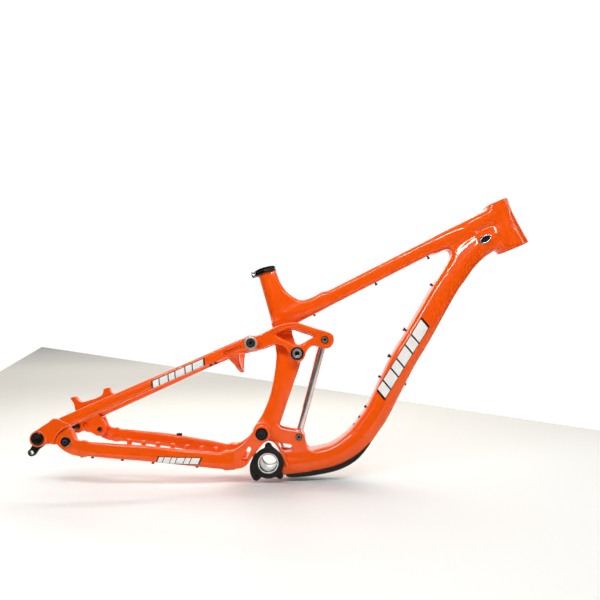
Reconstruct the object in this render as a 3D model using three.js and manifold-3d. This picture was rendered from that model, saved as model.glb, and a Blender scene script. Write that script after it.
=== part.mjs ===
// Full-suspension mountain bike frame: a front triangle, a four-bar rear end and a rocker link.
// Units are millimetres. +X points forward, +Y to the rider's left, +Z up.
// The origin is the centre of the bottom bracket shell. The drive side is -Y ("right").
import * as THREE from 'three';
import { mergeVertices } from 'three/addons/utils/BufferGeometryUtils.js';
import { ParametricGeometry } from 'three/addons/geometries/ParametricGeometry.js';
import Module from 'manifold-3d';

const wasm = await Module();
wasm.setup();

// ---------------------------------------------------------------- driving dimensions

const GAP = 0.3; // space left between two pieces that meet
const DEGREE = Math.PI / 180;
const FACETS = 16; // sides of a small round piece
const TUBE_FACETS = 32; // sides of a large round piece

// Pivots of the suspension, in the side view, as [x, z].
const REAR_AXLE = [-434.5, 57.5];
const HORST_PIVOT = [-381.5, 52]; // chainstay to seatstay, just ahead of the axle
const MAIN_PIVOT = [-12.3, 60]; // front triangle to chainstay
const ROCKER_PIVOT = [58, 220]; // front triangle to rocker
const STAY_PIVOT = [-33, 240.4]; // seatstay to rocker
const STRUT_TOP = [113, 247.4]; // strut to rocker
const STRUT_BOTTOM = [61.3, 51.3]; // strut to front triangle

// Head tube: 44 mm upper and 56 mm lower bearing seats.
const HEAD_BOTTOM = [506.3, 438.4];
const HEAD_LENGTH = 100;
const HEAD_TILT = 21.6 * DEGREE; // from vertical, top leaning back
const HEAD_TOP_RADIUS = 24.7;
const HEAD_BOTTOM_RADIUS = 31.2;
const UPPER_SEAT_RADIUS = 22;
const LOWER_SEAT_RADIUS = 28;

// Seat tube: 34.9 mm outside, 30.9 mm post.
const SEAT_TOP = [-8.2, 394.6];
const SEAT_TILT = 15.7 * DEGREE;
const SEAT_RADIUS = 17.45;
const SEAT_BORE_RADIUS = 15.45;
const SEAT_TUBE_LENGTH = 130;

// Bottom bracket shell: 73 mm threaded, 42 mm outside.
const BB_RADIUS = 21;
const BB_BORE_RADIUS = 17.4;
const BB_HALF = 36.5;

// Half widths across the frame.
const HUB_HALF = 74; // 148 mm rear hub
const ROCKER_INNER = 28;
const ROCKER_OUTER = 41;
const STRUT_BOSS_HALF = 27; // seat strut's boss between the rocker plates
const MAIN_BOSS_HALF = 31;
const YOKE_INNER = 32;
const YOKE_OUTER = 46;
const STAY_EYE_INNER = 42;
const STAY_EYE_OUTER = 56;
const LUG_INNER = 77; // chainstay lug at the Horst pivot
const DROPOUT_OUTER = 86;

const WALL = 3; // tube wall

// ---------------------------------------------------------------- solids

function solidOf(geometry) {
  const bare = geometry.clone();
  bare.deleteAttribute('normal');
  bare.deleteAttribute('uv');
  const merged = mergeVertices(bare, 1e-4);
  const corners = merged.index.array;
  const kept = [];
  for (let i = 0; i < corners.length; i += 3) {
    const [a, b, c] = [corners[i], corners[i + 1], corners[i + 2]];
    if (a !== b && b !== c && c !== a) kept.push(a, b, c);
  }
  const mesh = new wasm.Mesh({
    numProp: 3,
    vertProperties: new Float32Array(merged.attributes.position.array),
    triVerts: new Uint32Array(kept),
  });
  return new wasm.Manifold(mesh);
}

function geometryOf(solid) {
  const mesh = solid.getMesh();
  const geometry = new THREE.BufferGeometry();
  geometry.setAttribute('position', new THREE.BufferAttribute(mesh.vertProperties, 3));
  geometry.setIndex(new THREE.BufferAttribute(mesh.triVerts, 1));
  const flat = geometry.toNonIndexed();
  flat.computeVertexNormals();
  return flat;
}

const joined = (first, ...others) => others.reduce((sum, next) => sum.add(next), first);
const cut = (first, ...others) => others.reduce((rest, next) => rest.subtract(next), first);

// A piece turned about an axis along Y. The profile is [radius, y] pairs, from low y to high.
function turned(profile, [x, z] = [0, 0], facets = FACETS) {
  const points = profile.map(([radius, y]) => new THREE.Vector2(radius, y));
  const geometry = new THREE.LatheGeometry(points, facets);
  return solidOf(geometry.translate(x, 0, z));
}

const shaft = (radius, low, high, at, facets) =>
  turned([[0, low], [radius, low], [radius, high], [0, high]], at, facets);

const ring = (inner, outer, low, high, at, facets) =>
  turned([[inner, low], [outer, low], [outer, high], [inner, high], [inner, low]], at, facets);

// A bolt along Y whose head has a hexagon socket: the head spans neck..face on the -Y side.
function bolt({ shank, head, neck, face, end, socket = 3, at }) {
  const body = turned([[0, face], [head - 1, face], [head, face + 1], [head, neck], [shank, neck],
    [shank, end], [0, end]], at);
  const hexagon = new THREE.CylinderGeometry(socket, socket, 6, 6).translate(at[0], face, at[1]);
  return cut(body, solidOf(hexagon));
}

// A flat piece: a side view [x, z] outline, extruded along Y from low to high, edges bevelled.
function plate(shape, low, high, bevel = 0) {
  const geometry = new THREE.ExtrudeGeometry(shape, {
    depth: high - low - 2 * bevel,
    bevelEnabled: bevel > 0,
    bevelThickness: bevel,
    bevelSize: bevel,
    bevelOffset: -bevel,
    bevelSegments: 1,
    curveSegments: 5,
  });
  geometry.rotateX(Math.PI / 2);
  return solidOf(geometry.translate(0, high - bevel, 0));
}

const polygon = (points) => new THREE.Shape(points.map(([x, z]) => new THREE.Vector2(x, z)));

// A closed outline that passes smoothly through its points.
function smooth(points, perSpan = 3) {
  const curve = new THREE.CatmullRomCurve3(points.map(([x, z]) => new THREE.Vector3(x, z, 0)), true);
  const along = curve.getPoints(points.length * perSpan).slice(0, -1);
  return new THREE.Shape(along.map((point) => new THREE.Vector2(point.x, point.y)));
}

function disc([x, z], radius) {
  const shape = new THREE.Shape();
  shape.absarc(x, z, radius, 0, 2 * Math.PI);
  return shape;
}

// A rounded slot of the given width between two centres.
function slot([x1, z1], [x2, z2], width) {
  const angle = Math.atan2(z2 - z1, x2 - x1);
  const shape = new THREE.Shape();
  shape.absarc(x2, z2, width / 2, angle - Math.PI / 2, angle + Math.PI / 2);
  shape.absarc(x1, z1, width / 2, angle + Math.PI / 2, angle + 1.5 * Math.PI);
  return shape;
}

// A tube through stations [x, y, z, height, width]. Its section is a rounded rectangle that
// stays square to the path; height lies in the side view, width across the frame.
function tubeGeometry(stations, { grow = 0, squareness = 3.2, around = 16, perSpan = 1 } = {}) {
  const path = new THREE.CatmullRomCurve3(stations.map(([x, y, z]) => new THREE.Vector3(x, y, z)));
  const sizes = new THREE.CatmullRomCurve3(stations.map(([, , , h, w]) => new THREE.Vector3(h, w, 0)));
  const rings = (stations.length - 1) * perSpan;
  const across = new THREE.Vector3(0, 1, 0);
  const power = 2 / squareness;
  const rounded = (value) => Math.sign(value) * Math.abs(value) ** power;
  const surface = (u, v, target) => {
    const row = Math.round(v * (rings + 2));
    const t = Math.min(Math.max((row - 1) / rings, 0), 1);
    path.getPoint(t, target);
    if (row === 0 || row === rings + 2) return;
    const size = sizes.getPoint(t);
    const along = path.getTangent(t);
    const up = new THREE.Vector3().crossVectors(along, across).normalize();
    const side = new THREE.Vector3().crossVectors(up, along);
    const angle = 2 * Math.PI * (u % 1);
    target.addScaledVector(up, (size.x / 2 + grow) * rounded(Math.sin(angle)));
    target.addScaledVector(side, (size.y / 2 + grow) * rounded(Math.cos(angle)));
  };
  return new ParametricGeometry(surface, around, rings + 2);
}

const tube = (stations, options) => solidOf(tubeGeometry(stations, options));

const onLeft = (stations) => stations.map(([x, y, z, h, w]) => [x, -y, z, h, w]);
const shrunk = (stations, by) => stations.map(([x, y, z, h, w]) => [x, y, z, h - 2 * by, w - 2 * by]);

// ---------------------------------------------------------------- finishes

const finish = (colour, roughness, metalness) => ({ color: colour, roughness, metalness });
const PAINT = finish(0xf2520c, 0.22, 0.1);
const BLACK = finish(0x17181a, 0.35, 0.6);
const STEEL = finish(0xb9bcc0, 0.25, 1);
const ALLOY = finish(0xc8c9c9, 0.3, 1);
const RUBBER = finish(0x1c1c1d, 0.8, 0);
const CREAM = finish(0xe9e2d4, 0.35, 0.4);

const frame = new THREE.Group();
const bodies = {};
for (const body of ['front_triangle', 'chainstay', 'seatstay', 'rocker', 'strut']) {
  bodies[body] = new THREE.Group();
  frame.add(bodies[body]);
}

function add(body, name, look, solid) {
  const mesh = new THREE.Mesh(geometryOf(solid), new THREE.MeshStandardMaterial(look));
  mesh.name = name;
  bodies[body].add(mesh);
  return mesh;
}

// A right-hand piece and its mirror image on the left.
function addPair(body, name, look, solid) {
  add(body, `${name}_right`, look, solid);
  add(body, `${name}_left`, look, solid).scale.y = -1;
}

// ---------------------------------------------------------------- front triangle

// Turns a solid made upright about the Z axis to the tube's lean, with its foot at [x, z].
function leaning(geometry, tilt, [x, z]) {
  return solidOf(geometry.rotateX(Math.PI / 2).rotateY(-tilt).translate(x, 0, z));
}

function lathe(profile) {
  return new THREE.LatheGeometry(profile.map(([r, s]) => new THREE.Vector2(r, s)), TUBE_FACETS);
}

const headOutside = [[HEAD_BOTTOM_RADIUS, 0], [HEAD_BOTTOM_RADIUS, 10], [26.4, 46],
  [HEAD_TOP_RADIUS, 66], [HEAD_TOP_RADIUS, HEAD_LENGTH]];
const SEAT_DEPTH = 14; // depth of each headset bearing seat
const headInside = [[UPPER_SEAT_RADIUS, HEAD_LENGTH], [UPPER_SEAT_RADIUS, HEAD_LENGTH - SEAT_DEPTH],
  [20.5, HEAD_LENGTH - SEAT_DEPTH - 2], [23, SEAT_DEPTH + 2],
  [LOWER_SEAT_RADIUS, SEAT_DEPTH], [LOWER_SEAT_RADIUS, 0]];
const headProfile = [...headOutside, ...headInside, headOutside[0]];
const headTube = leaning(lathe(headProfile), HEAD_TILT, HEAD_BOTTOM);
const headEnvelope = leaning(
  lathe([[0, -1], ...headOutside.map(([r, s]) => [r + GAP, s]), [0, HEAD_LENGTH + 1]]),
  HEAD_TILT, HEAD_BOTTOM);
add('front_triangle', 'head_tube', PAINT, headTube);

const seatAlong = [Math.sin(SEAT_TILT), -Math.cos(SEAT_TILT)]; // down the seat tube
const onSeat = (distance) => [SEAT_TOP[0] + seatAlong[0] * distance, SEAT_TOP[1] + seatAlong[1] * distance];
const seatFoot = onSeat(SEAT_TUBE_LENGTH);
const seatTube = leaning(lathe([[SEAT_BORE_RADIUS, 0], [SEAT_RADIUS, 0],
  [SEAT_RADIUS, SEAT_TUBE_LENGTH], [SEAT_BORE_RADIUS, SEAT_TUBE_LENGTH], [SEAT_BORE_RADIUS, 0]]),
SEAT_TILT, seatFoot);
const SEAT_ROOM = { radius: SEAT_RADIUS + GAP, low: -14, high: SEAT_TUBE_LENGTH + 5 };
const seatEnvelope = leaning(
  lathe([[0, SEAT_ROOM.low], [SEAT_ROOM.radius, SEAT_ROOM.low], [SEAT_ROOM.radius, SEAT_ROOM.high],
    [0, SEAT_ROOM.high]]),
  SEAT_TILT, seatFoot);
add('front_triangle', 'seat_tube', PAINT, seatTube);

const bbShell = ring(BB_BORE_RADIUS, BB_RADIUS, -BB_HALF, BB_HALF, [0, 0], TUBE_FACETS);
const bbEnvelope = shaft(BB_RADIUS + GAP, -BB_HALF - 5, BB_HALF + 5, [0, 0], TUBE_FACETS);
add('front_triangle', 'bottom_bracket_shell', ALLOY, bbShell);

// Down tube: straight from the bend behind the head tube to the sweep under the bottom bracket.
const downStations = [[484, 0, 474, 50, 44], [456, 0, 457, 52, 46], [428, 0, 437.5, 51, 48],
  [404, 0, 413, 50, 50], [384, 0, 385, 49, 52], [361, 0, 351, 49, 53], [308, 0, 258, 51, 54],
  [274.5, 0, 202, 51, 55], [227.5, 0, 108, 48, 57], [208.5, 0, 77.5, 48, 58],
  [179, 0, 41, 49, 60], [137, 0, 13.5, 46.5, 61], [86, 0, 1, 45.5, 62], [45, 0, -4.5, 46, 62],
  [16, 0, -8, 43, 62]];
const downOutside = tube(downStations);
const downInside = tube(shrunk(downStations, WALL));
const PORT = { at: [440, 452], angle: 32 * DEGREE, length: 26, height: 16 };

// An ellipse about the cable port, with its long axis along the down tube.
function portEllipse(inset) {
  const shape = new THREE.Shape();
  shape.absellipse(PORT.at[0], PORT.at[1], PORT.length / 2 - inset, PORT.height / 2 - inset,
    0, 2 * Math.PI, false, PORT.angle);
  return shape;
}
const portCut = plate(portEllipse(0.7), -40, 40);

// Top tube: straight, from the seat tube up to the head tube, above the down tube's bend.
const topStations = [[16, 0, 279.5, 32, 36], [182, 0, 363.8, 30, 40], [320, 0, 434.2, 30, 42],
  [484, 0, 518, 29, 42]];
const topGrown = tube(topStations, { grow: GAP });

// The web that fills the corner under the top tube, behind the down tube's bend.
const crotchOutline = smooth([[342, 430], [364, 435.5], [374, 433], [378, 425], [376, 412], [366, 390],
  [386, 378], [412, 405], [432, 445], [405, 480], [342, 456]], 2);
const crotchWeb = cut(plate(crotchOutline, -15, 15, 4), topGrown);
const downTube = cut(joined(downOutside, crotchWeb), downInside, headEnvelope, bbEnvelope, portCut);
add('front_triangle', 'down_tube', PAINT, downTube);

const PORT_FACE = 25.4; // outer face of the port's bezel
const bezel = cut(
  joined(plate(portEllipse(0), -PORT_FACE, -PORT_FACE + 1), plate(portEllipse(1), -PORT_FACE + 1, -20)),
  plate(portEllipse(2.6), -PORT_FACE - 1, 0));
addPair('front_triangle', 'cable_port', STEEL, cut(bezel, downTube));

const topOutside = tube(topStations);
const topInside = tube(shrunk(topStations, WALL));
const downGrown = tube(downStations, { grow: GAP });
const topTube = cut(topOutside, topInside, headEnvelope, seatEnvelope, downGrown);
add('front_triangle', 'top_tube', PAINT, topTube);

// The web that fills the corner between the top tube and the seat tube.
const gussetOutline = smooth([[9, 389], [22, 367.5], [34, 351], [46, 340.3], [58, 333.2],
  [74, 330], [92, 335], [112, 345.5], [112, 320], [60, 300], [20, 300], [4, 340]], 2);
const gusset = cut(plate(gussetOutline, -16, 16, 5), seatEnvelope, topGrown);
add('front_triangle', 'seat_tube_gusset', PAINT, gusset);

// Seat strut: carries the seat tube down past the rocker pivot to the main pivot.
function stationAt(belowFoot) {
  const [x, z] = onSeat(SEAT_TUBE_LENGTH + belowFoot);
  return [x, 0, z];
}
const strutStations = [[...stationAt(1.2), 35, 35], [33, 0, 240, 42, 38],
  [40, 0, 210, 51, 42], [31, 0, 167, 43.5, 42], [19.5, 0, 126, 38.5, 42], [5.5, 0, 88, 41, 46],
  [-6, 0, 66, 42, 52], [-9, 0, 54, 24, 56]];
const strutShell = tube(strutStations);
const strutCore = tube(shrunk([[...stationAt(-8), 37, 37], ...strutStations.slice(0, 2)], WALL + 0.5));
const topOfStrut = leaning(new THREE.CylinderGeometry(60, 60, 80, 16).translate(0, 40, 0), SEAT_TILT,
  onSeat(SEAT_TUBE_LENGTH + GAP));
const MAIN_BOSS_RADIUS = 20;
const ROCKER_BOSS_RADIUS = 17;
const mainBoss = shaft(MAIN_BOSS_RADIUS, -MAIN_BOSS_HALF, MAIN_BOSS_HALF, MAIN_PIVOT);
const rockerBoss = shaft(ROCKER_BOSS_RADIUS, -STRUT_BOSS_HALF, STRUT_BOSS_HALF, ROCKER_PIVOT);
const MAIN_BEARING = { bore: 7.75, outside: 12.2, width: 8 };
const ROCKER_BEARING = { bore: 6.75, outside: 11.2, width: 7 };
const mainBore = shaft(MAIN_BEARING.outside + GAP, -50, 50, MAIN_PIVOT);
const rockerBore = shaft(ROCKER_BEARING.outside + GAP, -50, 50, ROCKER_PIVOT);
const strutBody = cut(joined(cut(strutShell, strutCore), mainBoss, rockerBoss), mainBore, rockerBore,
  topOfStrut, topGrown);
add('front_triangle', 'seat_strut', PAINT, strutBody);

// Shock mount: two cheeks that stand on the down tube and reach back to the seat strut.
const CHEEK_INNER = 13;
const CHEEK_OUTER = 27;
const cheekOutline = smooth([[0, 46], [8, 62], [16, 76], [24, 68.5], [40, 64], [57, 61.5],
  [69, 58.5], [74, 50], [76, 36], [82, 24], [96, 18], [90, 8], [40, 8], [29, 4], [25, 18],
  [17, 31], [9, 40]], 2);
const cheekSlot = slot([20, 31.5], [41, 28.5], 15);
const LOWER_BOLT_HOLE = 4.3;
const strutGrown = joined(
  tube([...strutStations, [-10, 0, 50, 24, 56]], { grow: 3 * GAP }),
  shaft(MAIN_BOSS_RADIUS + GAP, -40, 40, MAIN_PIVOT));
const cheek = cut(plate(cheekOutline, -CHEEK_OUTER, -CHEEK_INNER, 1.5),
  plate(cheekSlot, -CHEEK_OUTER - 1, 0), shaft(LOWER_BOLT_HOLE, -40, 0, STRUT_BOTTOM),
  strutGrown, downGrown, bbEnvelope);
addPair('front_triangle', 'shock_mount', PAINT, cheek);

function addBearings(body, name, { bore, outside, width }, outerFace, at) {
  addPair(body, name, STEEL, ring(bore, outside, -outerFace, width - outerFace, at));
}
addBearings('front_triangle', 'main_bearing', MAIN_BEARING, MAIN_BOSS_HALF - 0.5, MAIN_PIVOT);
addBearings('front_triangle', 'rocker_bearing', ROCKER_BEARING, STRUT_BOSS_HALF - 0.5, ROCKER_PIVOT);

add('front_triangle', 'shock_bolt_lower', BLACK, bolt({ shank: 4, head: 6.8, neck: -CHEEK_OUTER - GAP,
  face: -CHEEK_OUTER - 3.3, end: CHEEK_OUTER - 1, at: STRUT_BOTTOM }));

// Chain guide tabs: a ring round the shell on the drive side with three lugs.
const TAB_ANGLES = [90, 229, 313];
const TAB_CENTRE = 34.5;
const TAB_RADIUS = 6.8;
const guideLugs = TAB_ANGLES.map((angle) => {
  const [x, z] = [Math.cos(angle * DEGREE), Math.sin(angle * DEGREE)];
  return slot([x * 26, z * 26], [x * TAB_CENTRE, z * TAB_CENTRE], 2 * TAB_RADIUS);
});
const GUIDE_FACE = 36.3;
const GUIDE_BACK = 31.6;
const guidePlate = cut(
  joined(shaft(31, -GUIDE_FACE, -GUIDE_BACK, [0, 0], TUBE_FACETS),
    ...guideLugs.map((shape) => plate(shape, -GUIDE_FACE, -GUIDE_BACK))),
  bbEnvelope,
  ...TAB_ANGLES.map((angle) => shaft(3.1, -40, -30,
    [TAB_CENTRE * Math.cos(angle * DEGREE), TAB_CENTRE * Math.sin(angle * DEGREE)], 16)));
add('front_triangle', 'chain_guide_mount', BLACK, guidePlate);

// The moulded guard under the sweep of the down tube.
const guardOutline = smooth([[38, -31.5], [77, -31.2], [112, -28.5], [138, -21.5], [163.5, -9.4],
  [188, 8.5], [209, 33], [226, 60], [243, 89], [232, 92], [205, 55], [176, 22], [140, 2], [90, -10],
  [40, -16]], 1);
const guard = cut(plate(guardOutline, -27, 27, 4), downGrown);
add('front_triangle', 'down_tube_guard', RUBBER, guard);

// Seat clamp: a split ring with two ears behind the tube.
const CLAMP_HEIGHT = 11.5;
const CLAMP_RADIUS = 21.2;
const EAR_AT = -25.6; // bolt line, behind the tube's axis
const CLAMP_BORE = SEAT_RADIUS + GAP;
const clampRing = lathe([[CLAMP_BORE, 0], [CLAMP_RADIUS, 0], [CLAMP_RADIUS, CLAMP_HEIGHT],
  [CLAMP_BORE, CLAMP_HEIGHT], [CLAMP_BORE, 0]]);
const upright = (geometry) => solidOf(geometry.rotateX(Math.PI / 2));
const ears = solidOf(new THREE.BoxGeometry(13, 17, CLAMP_HEIGHT - 1).translate(-24.2, 0, CLAMP_HEIGHT / 2));
const earCentre = [EAR_AT, CLAMP_HEIGHT / 2];
const clampSplit = solidOf(new THREE.BoxGeometry(20, 2.4, 30).translate(-26, 0, 5));
const clampBore = upright(new THREE.CylinderGeometry(CLAMP_BORE, CLAMP_BORE, 60, TUBE_FACETS));
const clamp = cut(joined(upright(clampRing), ears), clampSplit, clampBore, shaft(2.7, -20, 20, earCentre));
const clampBolt = bolt({ shank: 2.4, head: 4.3, neck: -8.9, face: -12, end: 11, socket: 1.7, at: earCentre });
const clampGroup = new THREE.Group();
clampGroup.position.set(onSeat(9.8)[0], 0, onSeat(9.8)[1]);
clampGroup.rotation.y = -SEAT_TILT;
clampGroup.add(add('front_triangle', 'seat_clamp', BLACK, clamp));
clampGroup.add(add('front_triangle', 'seat_clamp_bolt', STEEL, clampBolt));
bodies.front_triangle.add(clampGroup);

// Small bolts and cable guides, each seated on its tube.
function stud(name, tubeSolid, look, [x, z], lean, radius, length) {
  const geometry = new THREE.CylinderGeometry(radius, radius, length, 12);
  const placed = solidOf(geometry.rotateX(Math.PI / 2).rotateY(lean * DEGREE).translate(x, 0, z));
  add('front_triangle', name, look, cut(placed, tubeSolid));
}
stud('bottle_bolt_upper', downGrown, BLACK, [282, 269.4], -60, 3.7, 8);
stud('bottle_bolt_lower', downGrown, BLACK, [250.5, 214.4], -60, 3.7, 8);
stud('down_tube_guide_upper', downGrown, BLACK, [338.5, 362], -60, 3.6, 7);
stud('top_tube_guide_front', topGrown, BLACK, [220.5, 367], 153, 3.6, 7);

// ---------------------------------------------------------------- chainstay assembly

const lugOutline = smooth([[-401.6, 51], [-400, 59.5], [-393, 68], [-383, 74.5], [-375.5, 79.5], [-371.5, 72],
  [-366, 59], [-355, 53.2], [-344, 52], [-344, 25], [-356, 24.6], [-371, 27.5], [-387, 36], [-397, 45]], 1);
const HORST_BEARING = { bore: 5.2, outside: 9.4 };
const chainStations = [[-352, -80.5, 38.6, 28, 10], [-330, -79.6, 36.8, 29, 13], [-299, -78, 33.8, 29, 16],
  [-231, -73, 27.5, 29.5, 17], [-180, -66, 20.5, 30, 18], [-128, -56, 13, 31, 17.5],
  [-98, -48.6, 8, 32, 15.5], [-70, -41.5, 8, 34, 14]];
const yokeOutline = smooth([[-88, 24], [-72, 26], [-58, 33], [-45, 44], [-34, 58], [-27, 68], [-13, 76],
  [1, 70], [4.2, 60], [-1, 49], [-11, 39], [-22.5, 24.5], [-34, 9.9], [-42, -1.5], [-53.5, -7.8],
  [-70, -9.5], [-88, -9]], 1);
const yokeSlot = slot([-38, 30], [-47, 9.5], 9);
const chainstay = cut(
  joined(tube(chainStations), plate(lugOutline, -DROPOUT_OUTER, -LUG_INNER, 1),
    plate(yokeOutline, -YOKE_OUTER, -YOKE_INNER, 2), shaft(16.5, -YOKE_OUTER, -YOKE_INNER, MAIN_PIVOT)),
  plate(yokeSlot, -60, -20), shaft(HORST_BEARING.outside + GAP, -90, -60, HORST_PIVOT),
  shaft(7.8, -60, 0, MAIN_PIVOT));
addPair('chainstay', 'chainstay', PAINT, chainstay);
addPair('chainstay', 'horst_bearing', STEEL,
  ring(HORST_BEARING.bore, HORST_BEARING.outside, -DROPOUT_OUTER + 0.6, -LUG_INNER - 0.6, HORST_PIVOT));

const bridgeOutline = smooth([[-67, -8], [-56, -9.5], [-44, -3], [-40, 4], [-46, 9], [-58, 8], [-67, 2]], 2);
add('chainstay', 'chainstay_bridge', PAINT,
  plate(bridgeOutline, -YOKE_INNER + GAP, YOKE_INNER - GAP));

add('chainstay', 'main_pivot_axle', STEEL, shaft(7.5, -YOKE_OUTER, YOKE_OUTER, MAIN_PIVOT));
const CAP_FACE = YOKE_OUTER + 3.4;
const CAP_BACK = YOKE_OUTER + GAP;
const pivotCap = cut(
  turned([[0, -CAP_FACE], [10.5, -CAP_FACE], [12.3, 1.2 - CAP_FACE], [12.3, -CAP_BACK], [0, -CAP_BACK]],
    MAIN_PIVOT),
  solidOf(new THREE.CylinderGeometry(4.6, 4.6, 5, 6).translate(MAIN_PIVOT[0], -CAP_FACE, MAIN_PIVOT[1])));
addPair('chainstay', 'main_pivot_cap', BLACK, pivotCap);

// Ribbed guard on the drive side stay, against the chain.
const GUARD_RIBS = 7;
const GUARD_START = [-268, 47.5];
const GUARD_END = [-104, 27];
const guardRibs = [];
for (let i = 0; i < GUARD_RIBS; i += 1) {
  const t = i / (GUARD_RIBS - 1);
  const x = THREE.MathUtils.lerp(GUARD_START[0], GUARD_END[0], t);
  const z = THREE.MathUtils.lerp(GUARD_START[1], GUARD_END[1], t);
  guardRibs.push(solidOf(new THREE.BoxGeometry(7.5, 8, 11).translate(x, -64.5 + 25.5 * t ** 1.6, z)));
}
const guardSpine = tube([[-278, -66, 43, 6, 5], [-231, -62.5, 39, 6, 5], [-180, -55, 32, 6, 5],
  [-128, -45.3, 25, 6, 5], [-94, -38.4, 20, 6, 5]], { around: 8 });
const chainGrown = tube(chainStations, { grow: GAP });
add('chainstay', 'chainstay_guard', PAINT, cut(joined(guardSpine, ...guardRibs), chainGrown));
add('chainstay', 'chainstay_guide', BLACK, cut(
  solidOf(new THREE.BoxGeometry(12, 6, 8).translate(-205, 70, 39)),
  tube(onLeft(chainStations), { grow: GAP })));

// ---------------------------------------------------------------- seatstay assembly

const seatStations = [[-404, -76, 81, 23, 15], [-380, -76, 91.5, 23, 16], [-300, -74, 127, 22, 16],
  [-215, -68.5, 165, 20.5, 16], [-150, -58.5, 194, 20, 16], [-100, -51.5, 216, 22, 15],
  [-62, -49.2, 231, 26, 14], [-36, -49, 239.6, 29, 13.6]];
const BRIDGE_CUT = [[-404, 98], [-371, 82.5]]; // slanted end of the tube at the dropout
const behindStay = polygon([BRIDGE_CUT[0], [-450, 120], [-450, 20], [-360, 20], BRIDGE_CUT[1]]);
const stayPocket = smooth([[-90, 224], [-70, 231], [-54, 237.5], [-50.5, 229], [-68, 220], [-86, 213.5]], 2);
const POCKET_FLOOR = 52;
const seatstayTube = cut(
  joined(tube(seatStations), shaft(15, -STAY_EYE_OUTER, -STAY_EYE_INNER, STAY_PIVOT)),
  plate(behindStay, -100, 0), plate(stayPocket, -70, -POCKET_FLOOR),
  shaft(8.3, -70, -20, STAY_PIVOT));
addPair('seatstay', 'seatstay', PAINT, seatstayTube);

const HANGER_OUTER = 78;
const dropoutOutline = smooth([[-402, 96], [-416, 88], [-430, 79], [-443, 69], [-449.5, 58], [-446.5, 46.5],
  [-437, 42.5], [-424, 45.8], [-412, 47.8], [-404, 46.5], [-402.4, 56], [-397.5, 65.5], [-388, 74.5],
  [-373, 84]], 1);
const tongueOutline = smooth([[-416, 50], [-400, 44], [-390, 38], [-380, 37], [-369.5, 43], [-366.5, 54],
  [-371.5, 68], [-383, 82], [-400, 92], [-416, 84]], 1);
const TONGUE_OUTER = 76.6;
const TONGUE_INNER = 67;
const linkOutline = polygon([[-420, 51], [-405, 50], [-400, 66], [-391.5, 78], [-404, 90], [-420, 82]]);
const chainLugRoom = plate(disc(HORST_PIVOT, 20.2), -DROPOUT_OUTER - 1, -TONGUE_OUTER - GAP / 2);
const seatGrown = cut(tube(seatStations, { grow: GAP }),
  plate(polygon([[-405, 98.2], [-450, 120], [-450, 20], [-360, 20], [-372, 82.7]]), -100, 0));
const dropoutBody = joined(plate(dropoutOutline, -DROPOUT_OUTER, -HANGER_OUTER - GAP, 1),
  plate(tongueOutline, -TONGUE_OUTER, -TONGUE_INNER, 1),
  plate(linkOutline, -DROPOUT_OUTER + 1, -TONGUE_INNER - 1));
const lugGrown = plate(lugOutline, -DROPOUT_OUTER - 1, -TONGUE_OUTER - GAP / 2);
const AXLE_RADIUS = 6;
const axleHole = shaft(AXLE_RADIUS + GAP, -90, -60, REAR_AXLE);
const dropout = cut(dropoutBody, chainLugRoom, lugGrown, seatGrown, shaft(5.3, -90, -60, HORST_PIVOT),
  axleHole);
add('seatstay', 'dropout_right', PAINT, dropout);
const hubSeat = cut(shaft(15, -HANGER_OUTER - 1, -HUB_HALF, REAR_AXLE), axleHole);
add('seatstay', 'dropout_left', PAINT, joined(dropout, hubSeat)).scale.y = -1;

addPair('seatstay', 'horst_bolt', BLACK, bolt({ shank: 5, head: 8.4, neck: -DROPOUT_OUTER - GAP,
  face: -DROPOUT_OUTER - 2.6, end: -TONGUE_INNER + 1.5, at: HORST_PIVOT }));

// Bridge between the seatstays: an arch that hangs from both stays and narrows at its middle.
// It is laid out along X and then turned to run across the frame.
const HALF_ARCH = [[50, 224, 12, 26, 69], [45.5, 213, 12, 25, 69], [34, 202, 10, 20, 66],
  [16, 189.5, 8, 12, 60]]; // [distance from the middle, z, height, width, distance behind the origin]
const archSide = (side) =>
  HALF_ARCH.map(([across, z, height, width, behind]) => [side * across, behind, z, height, width]);
const archStations = [...archSide(-1), [0, 56.5, 184, 8, 9], ...archSide(1).reverse()];
const arch = solidOf(tubeGeometry(archStations, { around: 12 }).rotateZ(Math.PI / 2));
const seatStaysGrown = tube(seatStations, { grow: GAP });
const leftStayGrown = tube(onLeft(seatStations), { grow: GAP });
add('seatstay', 'seatstay_bridge', PAINT, cut(arch, seatStaysGrown, leftStayGrown));

// Brake mount: two posts on the left stay.
const postOutline = smooth([[-450, 124], [-440, 129], [-432, 117.5], [-422, 112], [-405, 116.5],
  [-389, 121.5], [-377, 130], [-373, 147], [-365, 149.5], [-359, 136], [-348, 127], [-352, 112], [-380, 98],
  [-410, 86], [-430, 78], [-437, 92], [-441, 108]], 1);
const POST_TILT = 15.1 * DEGREE; // the caliper's seat leans back by this much
const POST_TIPS = [[-442.9, 122.8], [-369, 142.8]];
const abovePosts = solidOf(new THREE.BoxGeometry(140, 60, 40).translate(0, 0, 20).rotateY(-POST_TILT)
  .translate((POST_TIPS[0][0] + POST_TIPS[1][0]) / 2, 76, (POST_TIPS[0][1] + POST_TIPS[1][1]) / 2));
const leftDropoutRoom = plate(dropoutOutline, HANGER_OUTER, DROPOUT_OUTER + 1);
const tongueRoom = plate(tongueOutline, TONGUE_INNER - GAP, TONGUE_OUTER + GAP);
const linkRoom = plate(linkOutline, TONGUE_INNER, DROPOUT_OUTER);
add('seatstay', 'brake_mount', PAINT,
  cut(plate(postOutline, 70, 82, 1), abovePosts, leftStayGrown, leftDropoutRoom, tongueRoom, linkRoom));

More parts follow.
